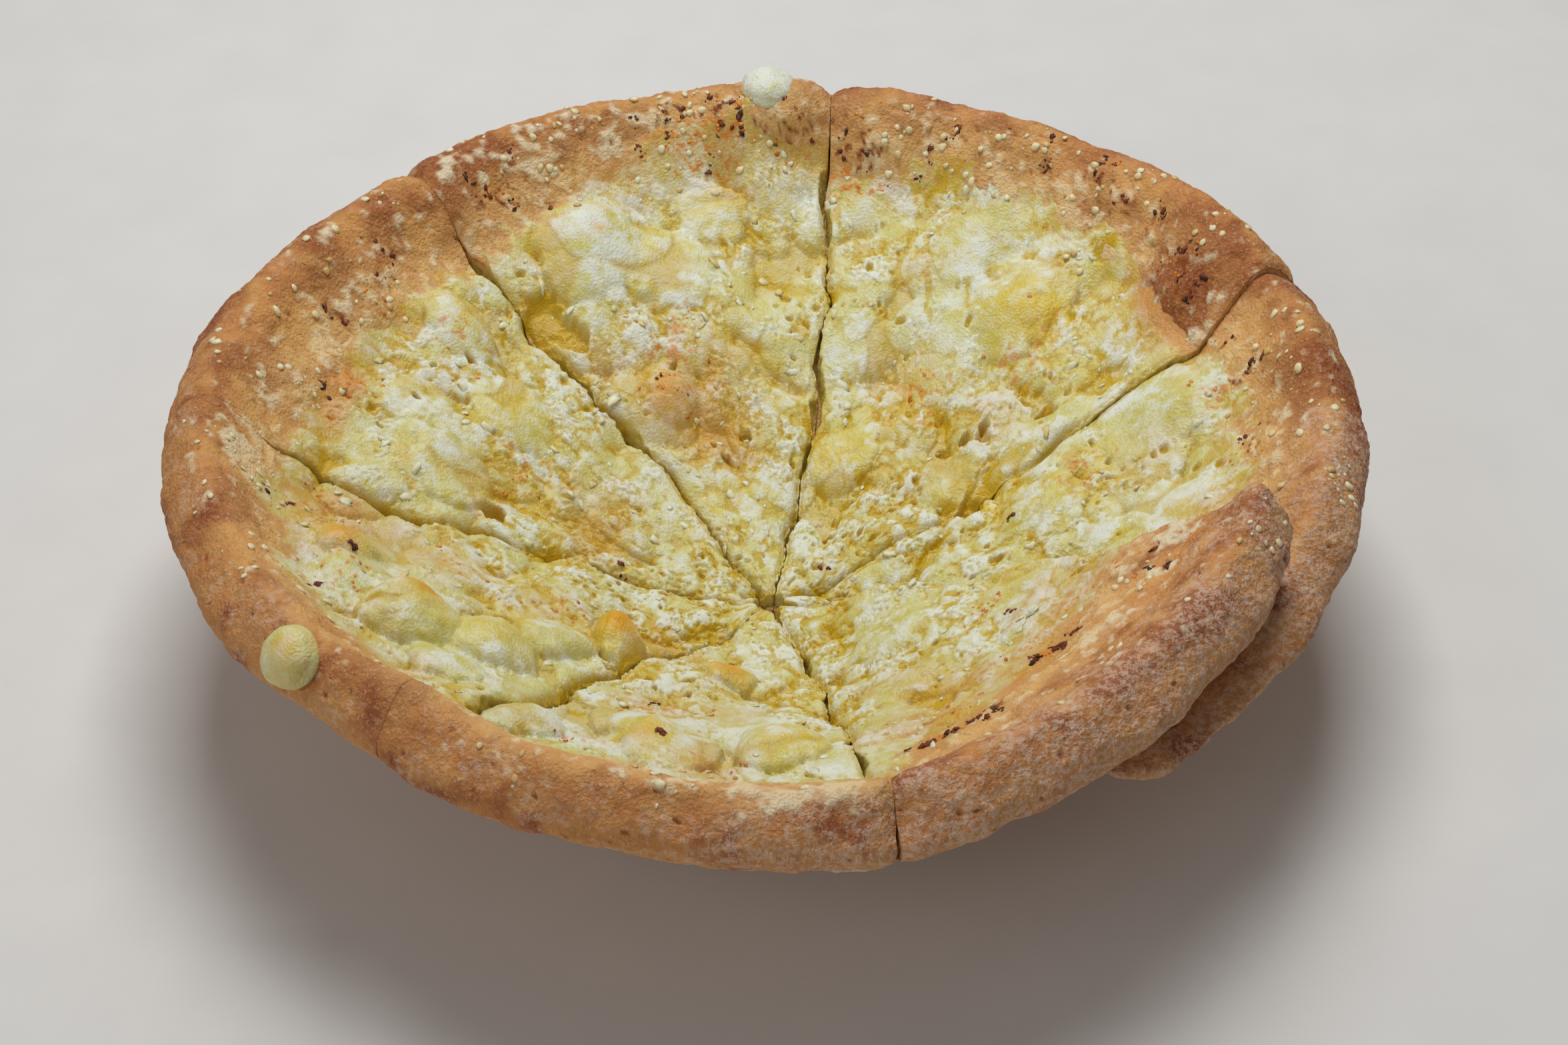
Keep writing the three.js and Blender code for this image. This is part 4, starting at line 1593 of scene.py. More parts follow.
    def paint(self, distance: Array, across: Array, melt: Melt) -> tuple[Array, Array]:
        """Works out the masks of the melted surface.

        Milk follows clouds, steps and the tops of curds; golden painted shade fills the pits, holes,
        creases, the low places between curds, the shoulders and lips at the cuts and the foot of each
        step; browning the placed spots, streaks along the crust and the film.

        Args:
            distance: Distance from the middle.
            across: Share across.
            melt: How the cheese has melted.

        Returns:
            The two sets of masks.
        """
        place, fine, skin, thin = melt.place, melt.fine, melt.skin, melt.thin
        x, y = place[..., 0], place[..., 1]
        bare = lerp(*self.plan.bare, across)
        tops = ramp(melt.curd, -0.1, 0.7) * melt.curdled
        # gaps: the low places between curds, which get painted shade: less milk and more golden yellow
        gaps = ramp(melt.curd, -0.25, -0.95) * melt.curdled
        cloud = swells(place, Seed.WHITE, (0.75, 7.0), (0.45, 2.6))
        cloud = cloud + 0.2 * melt.middle + 0.5 * (melt.step - 0.5)
        yolky = spotted(YOLKY, x, y)
        milky = ramp(cloud + spotted(MILKY, x, y) - 0.9 * yolky, -0.7, 1.15)
        milky = np.clip(milky * (1.0 - 0.6 * gaps) + 0.45 * tops * ramp(cloud, -0.7, 0.3), 0.0, 1.0)
        fleck = 0.8 * swell(place, 3.0, Seed.WHITE + 2) + 0.45 * fine
        fleck = fleck + 0.25 * swell(place, 9.0, Seed.WHITE + 3)
        fleck = fleck + 0.12 * melt.curd + 0.4 * (melt.step - 0.5) - 0.8 * yolky
        milky = np.maximum(milky, ramp(fleck, 0.4, 0.95))
        # Painted shade: golden yellow in pits, holes, the creases of the foams, the shoulders beside the
        # cuts, the gaps between curds, the foot of each step (below) and the cut lips
        fall = self.loaf.shoulder(self.plan, distance, across, np.full_like(distance, 10.0))
        fold_shade = ramp(melt.broad, -1.6, -5.5) * 0.4 + ramp(melt.middle, -0.7, -2.2) * 0.45 * (1.0 - skin)
        fold_shade = fold_shade + 0.6 * ramp(fall, 0.8, 5.0)
        below = bell(melt.ledge - 0.06, 0.09) * (1.0 - skin)
        hollow_shade = 0.95 * melt.pit + 0.75 * melt.holed + fold_shade + 0.6 * gaps
        hollow_shade = hollow_shade + 0.4 * below * melt.curdled + 0.3 * melt.lip
        hollow_shade = np.clip(1.15 * hollow_shade, 0.0, 0.97)
        patches = ramp(swells(place, Seed.TOAST, (1.0, 15.0), (0.4, 4.0)), 0.3, 0.95)
        toast = spotted(TOASTED, x, y) * (1.0 + 0.4 * fine)
        yolk = yolky * (0.9 + 0.5 * fine) + 0.3 * ramp(swell(place, 18.0, Seed.TOAST + 3), 0.0, 0.7)
        peachy = spotted(PEACHY, *melt.warped) * (0.75 + 0.5 * swell(place, 2.2, Seed.TOAST + 2))
        grain = np.stack([np.arctan2(y, x) * distance / 17.0, distance / 3.2, 0.0 * distance], axis=-1)
        streak = swell(grain, 1.0, Seed.FILM + 2) + 0.35 * swell(place, 2.6, Seed.FILM + 3)
        streak = self.plan.streaks * ramp(streak, 0.05, 0.75) * ramp(distance, bare - 34.0, bare - 8.0)
        fading = ramp(distance, bare - 16.0, bare + 3.0)
        baked_through = melt.scorched * ramp(distance, bare - 14.0, bare - 6.0)
        browned = 0.12 * patches + np.clip(peachy, 0.0, 0.55) + streak
        browned = browned + 0.75 * thin * ramp(melt.film, 0.8, -0.1)
        browned = browned + 0.35 * fading * ramp(melt.patch, 0.4, -0.5)
        browned = browned + np.maximum(0.8 * melt.scorched * thin, 0.65 * baked_through)
        browned = np.clip(browned, 0.0, 0.95)
        # Milk is thinned where the painted shade lies, and where the cheese is browned or thin
        milky = milky * (1.0 - 0.75 * hollow_shade) * (1.0 - 0.5 * browned) * (1.0 - 0.3 * thin)
        rust = 0.7 * stain(SPECKS, place) + 0.6 * stain(FLAKES, place)
        rust = rust + 0.7 * spotted(self.plan.own(SINGED), *melt.warped) + 0.25 * baked_through
        return masks(toast, milky, hollow_shade, browned), masks(yolk + 0.12 * thin, rust)

    def pits(self, place: Array, x: Array, y: Array) -> Array:
        """Gives the share of depth of the small pits: steep-sided wells in clusters, of two sizes.

        Args:
            place: Points on the body.
            x: Warped place along X.
            y: Warped place along Y.

        Returns:
            The share, 1 on a pit's floor.
        """
        rate = 0.02 + 0.2 * ramp(swell(place, 17.0, Seed.PIT), 0.0, 0.55)
        wide, narrow = self.pit_spacing
        away, chance = cells(x, y, wide, Seed.PIT + 1)
        large = ramp(away * wide, lerp(0.9, 1.7, chance * 4.0), 0.25) * (chance < rate)
        away, chance = cells(x, y, narrow, Seed.PIT + 2)
        small = ramp(away * narrow, 0.75, 0.15) * (chance < rate)
        return np.clip(large + 0.6 * small, 0.0, 1.0)

    def wall(self, shell: Shell, top: Array, under: Array, side: int) -> Array:
        """Covers the cut face on one side, from the underside up to the torn edge.

        Each face is straight up between the two edges, pushed back by a noise with 2 mm lumps, with painted
        shade where it is pushed back and more milk where it stands out.

        Args:
            shell: The mesh being gathered.
            top: Indices of the top sheet.
            under: Indices of the underside.
            side: 0 for the first cut and 1 for the second.

        Returns:
            The face's indices, a row for every step outwards, from the underside up.
        """
        column = -side
        points = np.concatenate(shell.points)
        low = points[under[:, column]]
        high = points[top[:, column]]
        part = (np.arange(1, self.layers) / self.layers)[None, :, None]
        between = lerp(low[:, None, :], high[:, None, :], part)
        push = 0.9 * np.abs(swell(between, 2.4, Seed.CRUMB + side)) - 0.25
        face = between + push[..., None] * self.plan.inward(side) * np.sin(np.pi * part)
        # Painted shade: darker golden yellow the further the face is pushed back, and milkier where it stands
        # out
        dark = np.clip(0.5 + 0.6 * push, 0.0, 0.85)
        baked = masks(0.0 * dark, 0.4 - dark, dark)
        index = np.concatenate([under[:, column][:, None], shell.add(face, baked),
                                top[:, column][:, None]], axis=1)
        shell.sheet(index if side == 0 else index[:, ::-1])
        return index

    def build(self, material: bpy.types.Material) -> bpy.types.Object:
        """Builds the closed layer: top, underside, two cut faces, tip and outer end.

        Args:
            material: Its finish.

        Returns:
            The piece.
        """
        shell = Shell()
        distance, across = self.grid()
        self.points, melt = self.melt(distance, across)
        self.normals = outward_normals(self.points)
        top = shell.add(self.points, *self.paint(distance, across, melt))
        shell.sheet(top)
        pick = np.linspace(0, distance.shape[1] - 1, self.under_columns).astype(int)
        share = distance[:, pick] / self.loaf.radius
        body = self.loaf.body(self.plan, share, np.linspace(0.0, 1.0, self.under_columns)[None, :])
        floor = np.maximum(body.top - self.loaf.bed_depth - 0.4, body.bottom + 0.3)
        under = shell.add(self.loaf.drawn_out(self.plan, body, floor))
        shell.sheet(under[::-1])
        walls = [self.wall(shell, top, under, side) for side in (0, 1)]
        self.end_face(shell, walls, top, under, 0)
        self.end_face(shell, walls, top, under, -1)
        return shell.build(f"{self.plan.name}_melted_cheese", material)

    def end_face(self, shell: Shell, walls: list[Array], top: Array, under: Array, row: int) -> None:
        """Closes the tip (row 0) or the outer end (row -1) between the two cut faces.

        Args:
            shell: The mesh being gathered.
            walls: Indices of the two cut faces.
            top: Indices of the top sheet.
            under: Indices of the underside.
            row: The row to close.
        """
        points = np.concatenate(shell.points)
        rise = points[walls[0][row, 1:-1]][:, None, :] - points[walls[0][row, 0]]
        inner = shell.add(points[under[row, 1:-1]][None, :, :] + rise * np.array([0.0, 0.0, 1.0]))
        inner = np.concatenate([walls[0][row, 1:-1][:, None], inner, walls[1][row, 1:-1][:, None]], axis=1)
        face = np.concatenate([under[row][None, :], inner])
        if row == 0:
            shell.sheet(face)
            shell.stitch(face[-1], top[row])
        else:
            shell.stitch(top[row], face[-1])
            shell.sheet(face[::-1])

    def look_up(self, share: Array, across: Array) -> tuple[Array, Array]:
        """Finds the surface's points and normals nearest some places on the slice.

        Args:
            share: Share of the radius.
            across: Share across.

        Returns:
            The points and the normals.
        """
        rows, columns = self.points.shape[:2]
        end = self.loaf.cheese_end(self.plan, across) + self.film_reach
        part = (share * self.loaf.radius - self.plan.tip) / (end - self.plan.tip)
        row = np.clip(np.rint(part * (rows - 1)), 0, rows - 1).astype(int)
        column = np.clip(np.searchsorted(self.columns(), across), 0, columns - 1)
        return self.points[row, column], self.normals[row, column]


@dataclass
class BreadWedge:
    """The bread of one slice: raised crust, floured underside and crumbly cut faces."""

    plan: SlicePlan
    loaf: Loaf
    spacing: float = 0.47
    inner_spacing: float = 1.1
    crust_overlap: float = 13.0
    columns_under: int = 44
    layers: int = 14
    round_rows: int = 36
    pit_spacing: float = 5.2
    cell_spacing: float = 2.3
    pitted_front: float = 265.0
    # Angle where flour is thickest; the extra flour there also paints in the cooler light on that side
    flour_and_cool_light_at: float = 320.0
    tip: float = 0.8
    points: Array = field(init=False)
    normals: Array = field(init=False)
    shares: Array = field(init=False)
    across: Array = field(init=False)

    def rows(self) -> tuple[Array, int, int]:
        """Lays out the rows from tip to edge as distances from the middle.

        Returns:
            The distances, the first row of the fine crust and the last row before the rounded edge.
        """
        start = min(self.plan.bare) - self.crust_overlap
        crest = self.loaf.radius - self.loaf.edge_rounding
        inner = np.arange(self.tip, start, self.inner_spacing)
        ring = np.linspace(start, crest, int((crest - start) / self.spacing))
        turn = np.linspace(0.0, np.pi / 2, self.round_rows)[1:]
        rounded = crest + self.loaf.edge_rounding * np.sin(turn)
        return np.concatenate([inner, ring, rounded]), len(inner), len(inner) + len(ring) - 1

    def widened(self, distance: Array, columns: Array) -> Array:
        """Gives the shares across of some columns, widened until the cuts are nearly closed.

        Args:
            distance: Distance from the middle.
            columns: Shares across before.

        Returns:
            The shares across.
        """
        spare = [self.loaf.spare(self.plan, side, distance) for side in (0, 1)]
        return columns * (1.0 + spare[0] + spare[1]) - spare[0]

    @staticmethod
    def patches(points: Array) -> Array:
        """Gives the height of the browner patches: swells 17 and 5 mm apart."""
        return swells(points, Seed.BROWN, (0.8, 17.0), (0.45, 5.0))

    @staticmethod
    def floured(points: Array, more: Array | float) -> Array:
        """Gives the share of flour: swells 9 and 2 mm apart, raised by a given amount."""
        dust = swells(points, Seed.FLOUR, (0.6, 9.0), (0.5, 2.0))
        return ramp(dust + more, 0.25, 0.95)

    def crust_relief(self, points: Array, normals: Array, distance: Array, across: Array,
                     under: Array) -> tuple[Array, Array, Array]:
        """Raises the crust along its normals and works out its masks.

        Swells of 20, 7, 2.4 and 1 mm are added up, with wrinkles along the edge and small burst pits
        on the outer face, and the crust is rolled in beside the cuts.

        Args:
            points: The smooth crust.
            normals: Its normals.
            distance: Distance of each row from the middle.
            across: Share across of each column.
            under: Share by which each row is on the underside.

        Returns:
            The raised points and their two sets of masks.
        """
        plan = self.plan
        x, y = points[..., 0], points[..., 1]
        along = np.arctan2(y, x) * self.loaf.radius
        turn = np.mod(np.degrees(np.arctan2(y, x)), 360.0)
        step = np.linalg.norm(np.diff(points, axis=0), axis=-1)
        profile = np.concatenate([np.zeros((1, points.shape[1])), np.cumsum(step, axis=0)])
        outer = ramp(distance, 116.0, 126.0)
        bare = lerp(*plan.bare, across)
        bumps = (crust_bumps(points) + spotted(LOBES, x, y)) * ramp(distance, bare - 8.0, bare + 2.0)
        grit = swell(points, 1.1, Seed.RUMPLE + 3)
        bumps = bumps + 0.25 * swell(points, 2.5, Seed.RUMPLE + 2) + 0.17 * grit
        wrinkle = np.stack([along / 9.0, profile / 2.6, 0.0 * along], axis=-1)
        bumps = bumps - 0.35 * ramp(swell(wrinkle, 1.0, Seed.RUMPLE + 4), 0.3, 0.75) * (1.0 - outer)
        shifted = profile + 0.6 * swell(points, 1.3, Seed.PIT + 5)
        away, chance = cells(along + 0.6 * grit, shifted, self.pit_spacing, Seed.PIT + 4)
        front = ramp(np.abs(turn - self.pitted_front), 95.0, 60.0)
        rate = 0.06 + 0.3 * ramp(distance, bare + 13.0, bare + 5.0) + 0.25 * outer * front
        pit = ramp(away * self.pit_spacing, lerp(0.6, 1.25, chance * 2.0), 0.1) * (chance < rate)
        from_cut = np.minimum(across, 1.0 - across) * (plan.width() * distance)
        crack = np.where(across < 0.5, *plan.crack)
        lip = bell(from_cut, 1.1) * (0.5 + 0.7 * np.abs(swell(points, 9.0, Seed.TOOTH))) * crack
        rise = bumps - 0.65 * pit - 0.5 * lip
        rise = rise * (1.0 - ramp(under, 0.6, 1.0))
        raised = points + rise[..., None] * normals

        patches = self.patches(points)
        crest = bell(distance - 117.0, 9.0)
        scorched = np.clip(spotted(SCORCHED, x, y), 0.0, 1.0)
        brown = ramp(patches + 0.35 * crest + 0.2 * bumps + scorched, 0.0, 0.95)
        brown = np.clip(0.85 * brown + 0.3 * outer * (1.0 - under), 0.0, 1.0)
        smear = spotted(SMEARED, x, y) + 0.4 * ramp(distance, plan.bare[0] + 14.0, plan.bare[0] + 2.0)
        streak = swell(points * np.array([1.0, 1.0, 1.6]), 4.4, Seed.SMEAR)
        streak = 0.8 * streak + 0.6 * swell(points, 1.9, Seed.SMEAR + 1)
        smear = ramp(smear + streak, 0.45, 1.1) * (1.0 - ramp(distance, 123.0, 130.0))
        # More flour towards the right: real flour, and also the cooler light that falls on that side, painted
        # in
        right = ramp(np.abs(turn - self.flour_and_cool_light_at), 75.0, 30.0)
        right = right * lerp(0.45, 1.0, ramp(distance, 104.0, 119.0))
        flour = self.floured(points, 0.75 * under + (0.3 * outer + 0.75 * right) * (1.0 - under))
        glow = ramp(distance, bare + 14.0, bare) * (1.0 - under)
        glow = glow * np.clip(0.75 + 0.5 * swell(points, 6.0, Seed.SMEAR + 2), 0.0, 1.0)
        brown = np.maximum(brown * (1.0 - 0.6 * smear) * (1.0 - 0.65 * glow), 0.9 * scorched**2)
        # The blue mask is painted shade in the burst pits; alpha is flour, more towards the right
        baked = masks(brown, 0.8 * smear, 0.8 * pit, (0.6 + 0.2 * right) * flour)
        rust = 0.75 * stain(FLAKES, points) + 0.4 * stain(SPECKS, points)
        rust = rust + 0.9 * spotted(plan.own(SINGED), x + 0.5 * grit, y)
        accent = masks(0.82 * glow * (1.0 - scorched), rust * (1.0 - under))
        return raised + (0.3 * smear)[..., None] * normals, baked, accent

    def wall(self, shell: Shell, top: Array, low: Array, side: int) -> Array:
        """Covers the cut face on one side with crumb, pushed back in small open cells that hold painted
        shade.

        Args:
            shell: The mesh being gathered.
            top: Indices of the upper edge, from tip to rim.
            low: Indices of the lower edge; the last is the rim itself.
            side: 0 for the first cut and 1 for the second.

        Returns:
            The face's indices, a row for every step outwards, from the underside up.
        """
        points = np.concatenate(shell.points)
        part = (np.arange(1, self.layers) / self.layers)[None, :, None]
        between = lerp(points[low[:-1]][:, None, :], points[top[:-1]][:, None, :], part)
        outward = np.hypot(between[..., 0], between[..., 1])
        away, chance = cells(outward, between[..., 2], self.cell_spacing, Seed.CRUMB + side)
        cell = ramp(away, lerp(0.3, 0.65, chance), 0.0)
        push = (0.9 * cell + 0.25 * swell(between, 3.0, Seed.CRUMB + 2)) * np.sin(np.pi * part[..., 0])
        tall = np.linalg.norm(points[top[:-1]] - points[low[:-1]], axis=-1)[:, None]
        skin = np.minimum(part[..., 0], 1.0 - part[..., 0]) * tall
        covered = ramp(outward, 108.0, 98.0)
        # Painted shade in the open cells: less pale crumb there, and the pit colour through the blue mask
        crumb = np.maximum(ramp(skin, 0.2, 1.6), covered) * (1.0 - 0.6 * cell)
        crumb = crumb * np.clip(0.85 + 0.35 * swell(between, 5.0, Seed.CRUMB + 3), 0.5, 1.0)
        if self.plan.role is Role.CARRIER and side == 0:
            crumb = 0.0 * crumb
        face = between + push[..., None] * self.plan.inward(side)
        index = shell.add(face, masks(0.5 - 0.5 * crumb, 0.0, 0.35 * cell), masks(crumb))
        index = np.concatenate([low[:-1][:, None], index, top[:-1][:, None]], axis=1)
        index = np.concatenate([index, np.full((1, self.layers + 1), top[-1])])
        shell.sheet(index if side == 0 else index[:, ::-1])
        return index

    def build(self, material: bpy.types.Material) -> bpy.types.Object:
        """Builds the closed wedge: hidden bed, crust ring, underside, two cut faces and tip.

        Args:
            material: Its finish.

        Returns:
            The piece.
        """
        shell = Shell()
        plan, loaf = self.plan, self.loaf
        distance, first, last = self.rows()
        coarse = np.linspace(0.0, 1.0, self.columns_under)[None, :]
        width = plan.width() * loaf.radius
        fine = np.linspace(0.0, 1.0, int(width / self.spacing))[None, :]

        bed_rows = distance[:first, None]
        bed_across = self.widened(bed_rows, coarse)
        bed = loaf.body(plan, bed_rows / loaf.radius, bed_across)
        bed_height = loaf.bed(plan, bed, bed_rows, bed_across)
        bed_index = shell.add(loaf.drawn_out(plan, bed, bed_height), None, masks(1.0))
        shell.sheet(bed_index)

        upper_rows = distance[first:, None]
        lower_rows = distance[last + 1:-1][::-1, None]
        upper_across = self.widened(upper_rows, fine)
        upper = loaf.body(plan, upper_rows / loaf.radius, upper_across)
        lower = loaf.body(plan, lower_rows / loaf.radius, self.widened(lower_rows, fine))
        smooth = np.concatenate([
            loaf.drawn_out(plan, upper, loaf.bed(plan, upper, upper_rows, upper_across)),
            loaf.drawn_out(plan, lower, lower.bottom)])
        ring_rows = np.concatenate([upper_rows, lower_rows])
        under = np.concatenate([0.0 * upper_rows, np.linspace(0.0, 1.0, len(lower_rows))[:, None]])
        raised, baked, accent = self.crust_relief(smooth, outward_normals(smooth), ring_rows, fine, under)
        ring = shell.add(raised, baked, accent)
        shell.stitch(bed_index[-1], ring[0])
        shell.sheet(ring)
        edge = len(upper_rows) - 1
        self.points = raised[:edge + 1]
        self.normals = outward_normals(raised)[:edge + 1]
        self.shares = distance[first:] / loaf.radius
        self.across = fine[0]

        floor_rows = distance[:last + 1, None]
        floor = loaf.body(plan, floor_rows / loaf.radius, self.widened(floor_rows, coarse))
        under_side = loaf.drawn_out(plan, floor, floor.bottom)
        floor_index = shell.add(under_side, masks(0.85 * ramp(self.patches(under_side), 0.0, 0.95), 0.0, 0.0,
                                                  0.6 * self.floured(under_side, 0.75)))
        shell.stitch(ring[-1], floor_index[-1])
        shell.sheet(floor_index[::-1])

        walls = []
        for side in (0, 1):
            top_edge = np.concatenate([bed_index[:, -side], ring[:edge + 1, -side]])
            low_edge = np.concatenate([floor_index[:, -side], ring[edge + 1:, -side][::-1],
                                       ring[edge:edge + 1, -side]])
            walls.append(self.wall(shell, top_edge, low_edge, side))
        self.close_tip(shell, walls, bed_index[0], floor_index[0])
        return shell.build(f"{plan.name}_baked_bread", material)

    def close_tip(self, shell: Shell, walls: list[Array], top: Array, low: Array) -> None:
        """Closes the tip between the two cut faces.

        Args:
            shell: The mesh being gathered.
            walls: Indices of the two cut faces.
            top: Indices of the upper edge of the tip.
            low: Indices of its lower edge.
        """
        points = np.concatenate(shell.points)
        part = (np.arange(1, self.layers) / self.layers)[:, None, None]
        between = lerp(points[low[1:-1]][None], points[top[1:-1]][None], part)
        inner = shell.add(between, None, masks(1.0))
        inner = np.concatenate([walls[0][0, 1:-1][:, None], inner, walls[1][0, 1:-1][:, None]], axis=1)
        shell.sheet(np.concatenate([low[None], inner, top[None]]))

    def look_up(self, share: Array, across: Array) -> tuple[Array, Array]:
        """Finds the crust's points and normals nearest some places on the slice.

        Args:
            share: Share of the radius.
            across: Share across.

        Returns:
            The points and the normals.
        """
        row = np.clip(np.searchsorted(self.shares, share), 0, len(self.shares) - 1)
        column = np.clip(np.searchsorted(self.across, across), 0, len(self.across) - 1)
        return self.points[row, column], self.normals[row, column]


@dataclass(frozen=True)
class BubblePlan:
    """A blob of cheese that baked on the crust: its node, its slice, its place there and its size."""

    node: str
    slice_name: str
    share: float
    across: float
    width: float
    height: float
    toast: float
    sunk: float
    # Milky white of the blob's cheese; for the back blob it is set high so that it also paints in the blob's
    # highlight
    milk: float
    folds: float


BUBBLES = (
    BubblePlan("cheese_bubble_back", "slice_2", 0.925, 0.135, 13.6, 10.6, 0.0, 0.68, 0.75, 0.05),
    BubblePlan("cheese_bubble_left", "slice_4", 0.972, 0.77, 12.6, 10.0, 0.32, 0.34, -0.3, 0.03),
)


@dataclass
class CheeseBubble:
    """A flattened, slightly dented ball of cheese, sunk in the crust."""

    plan: BubblePlan
    slice_plan: SlicePlan
    loaf: Loaf
    rows: int = 60
    columns: int = 96
    step: float = 0.004

    def seat(self) -> tuple[Array, Array]:
        """Finds the ball's middle and the crust's outward direction under it.

        Returns:
            The middle, and three axes in rows of which the last points out of the crust.
        """
        share = self.plan.share + self.step * np.array([[-1.0], [0.0], [1.0]])
        across = self.plan.across + self.step * np.array([[-1.0, 0.0, 1.0]])
        body = self.loaf.body(self.slice_plan, share, across)
        patch = self.loaf.drawn_out(self.slice_plan, body, body.top)
        normal = outward_normals(patch)[1, 1]
        side = np.cross([0.0, 0.0, 1.0], normal)
        side = side / np.linalg.norm(side)
        middle = patch[1, 1] + normal * self.plan.height * (0.5 - self.plan.sunk)
        return middle, np.stack([side, np.cross(normal, side), normal])

    def build(self, material: bpy.types.Material) -> bpy.types.Object:
        """Builds the ball: a sphere of polar angle and azimuth, flattened, with noise in its radius.

        Args:
            material: Its finish.

        Returns:
            The piece.
        """
        plan = self.plan
        unit = unit_ball(self.rows, self.columns)
        seed = Seed.BUBBLE + len(plan.node)
        folds = swell(unit, 0.55, seed)
        radius = 1.0 + 0.16 * swell(unit, 1.3, seed) - plan.folds * np.abs(folds)
        radius = radius + 0.1 * ramp(unit[..., 2], 0.2, -0.25)
        radius = radius - 0.008 * np.abs(swell(unit, 0.22, seed + 1))
        middle, axes = self.seat()
        size = 0.5 * np.array([plan.width, plan.width, plan.height])
        points = middle + (unit * radius[..., None] * size) @ axes
        # Painted highlight: the blob is milkier towards its top
        lit_crown = ramp(unit[..., 2] + 0.4 * folds, 0.0, 1.0)
        milky = np.clip(plan.milk + 0.6 * swell(unit, 0.4, seed + 2) + 0.4 * lit_crown, 0.0, 1.0)
        toast = np.clip(plan.toast * (0.6 + swell(unit, 0.8, seed + 3)), 0.0, 1.0)
        # Painted shade in the blob's folds
        hollow_shade = 4.0 * plan.folds * ramp(np.abs(folds), 0.07, 0.0)
        shell = Shell()
        shell.balls(points[None], masks(toast, milky, hollow_shade)[None])
        return shell.build(f"{plan.node}_baked", material)


@dataclass
class Slice:
    """One slice with both its layers."""

    plan: SlicePlan
    bread: BreadWedge
    cheese: CheeseLayer

    def surface(self, share: Array, across: Array) -> tuple[Array, Array]:
        """Finds the surface at some places, on whichever layer lies higher.

        Args:
            share: Share of the radius.
            across: Share across.

        Returns:
            The points and the normals.
        """
        crust, crust_normal = self.bread.look_up(share, across)
        cheese, cheese_normal = self.cheese.look_up(share, across)
        end = self.bread.loaf.cheese_end(self.plan, across) + self.cheese.film_reach - 1.0
        inside = share * self.bread.loaf.radius < end
        no_crust = share < self.bread.shares[0]
        higher = (no_crust | (inside & (cheese[:, 2] > crust[:, 2])))[:, None]
        return np.where(higher, cheese, crust), np.where(higher, cheese_normal, crust_normal)


@dataclass(frozen=True)
class Bits:
    """Places of scattered bits: points on the surface, the normals there, and the bits' sizes."""

    points: Array
    normals: Array
    sizes: Array

    @staticmethod
    def joined(parts: list["Bits"]) -> "Bits":
        """Joins several sets of places into one."""
        kinds = zip(*((part.points, part.normals, part.sizes) for part in parts))
        return Bits(*(np.concatenate(kind) for kind in kinds))


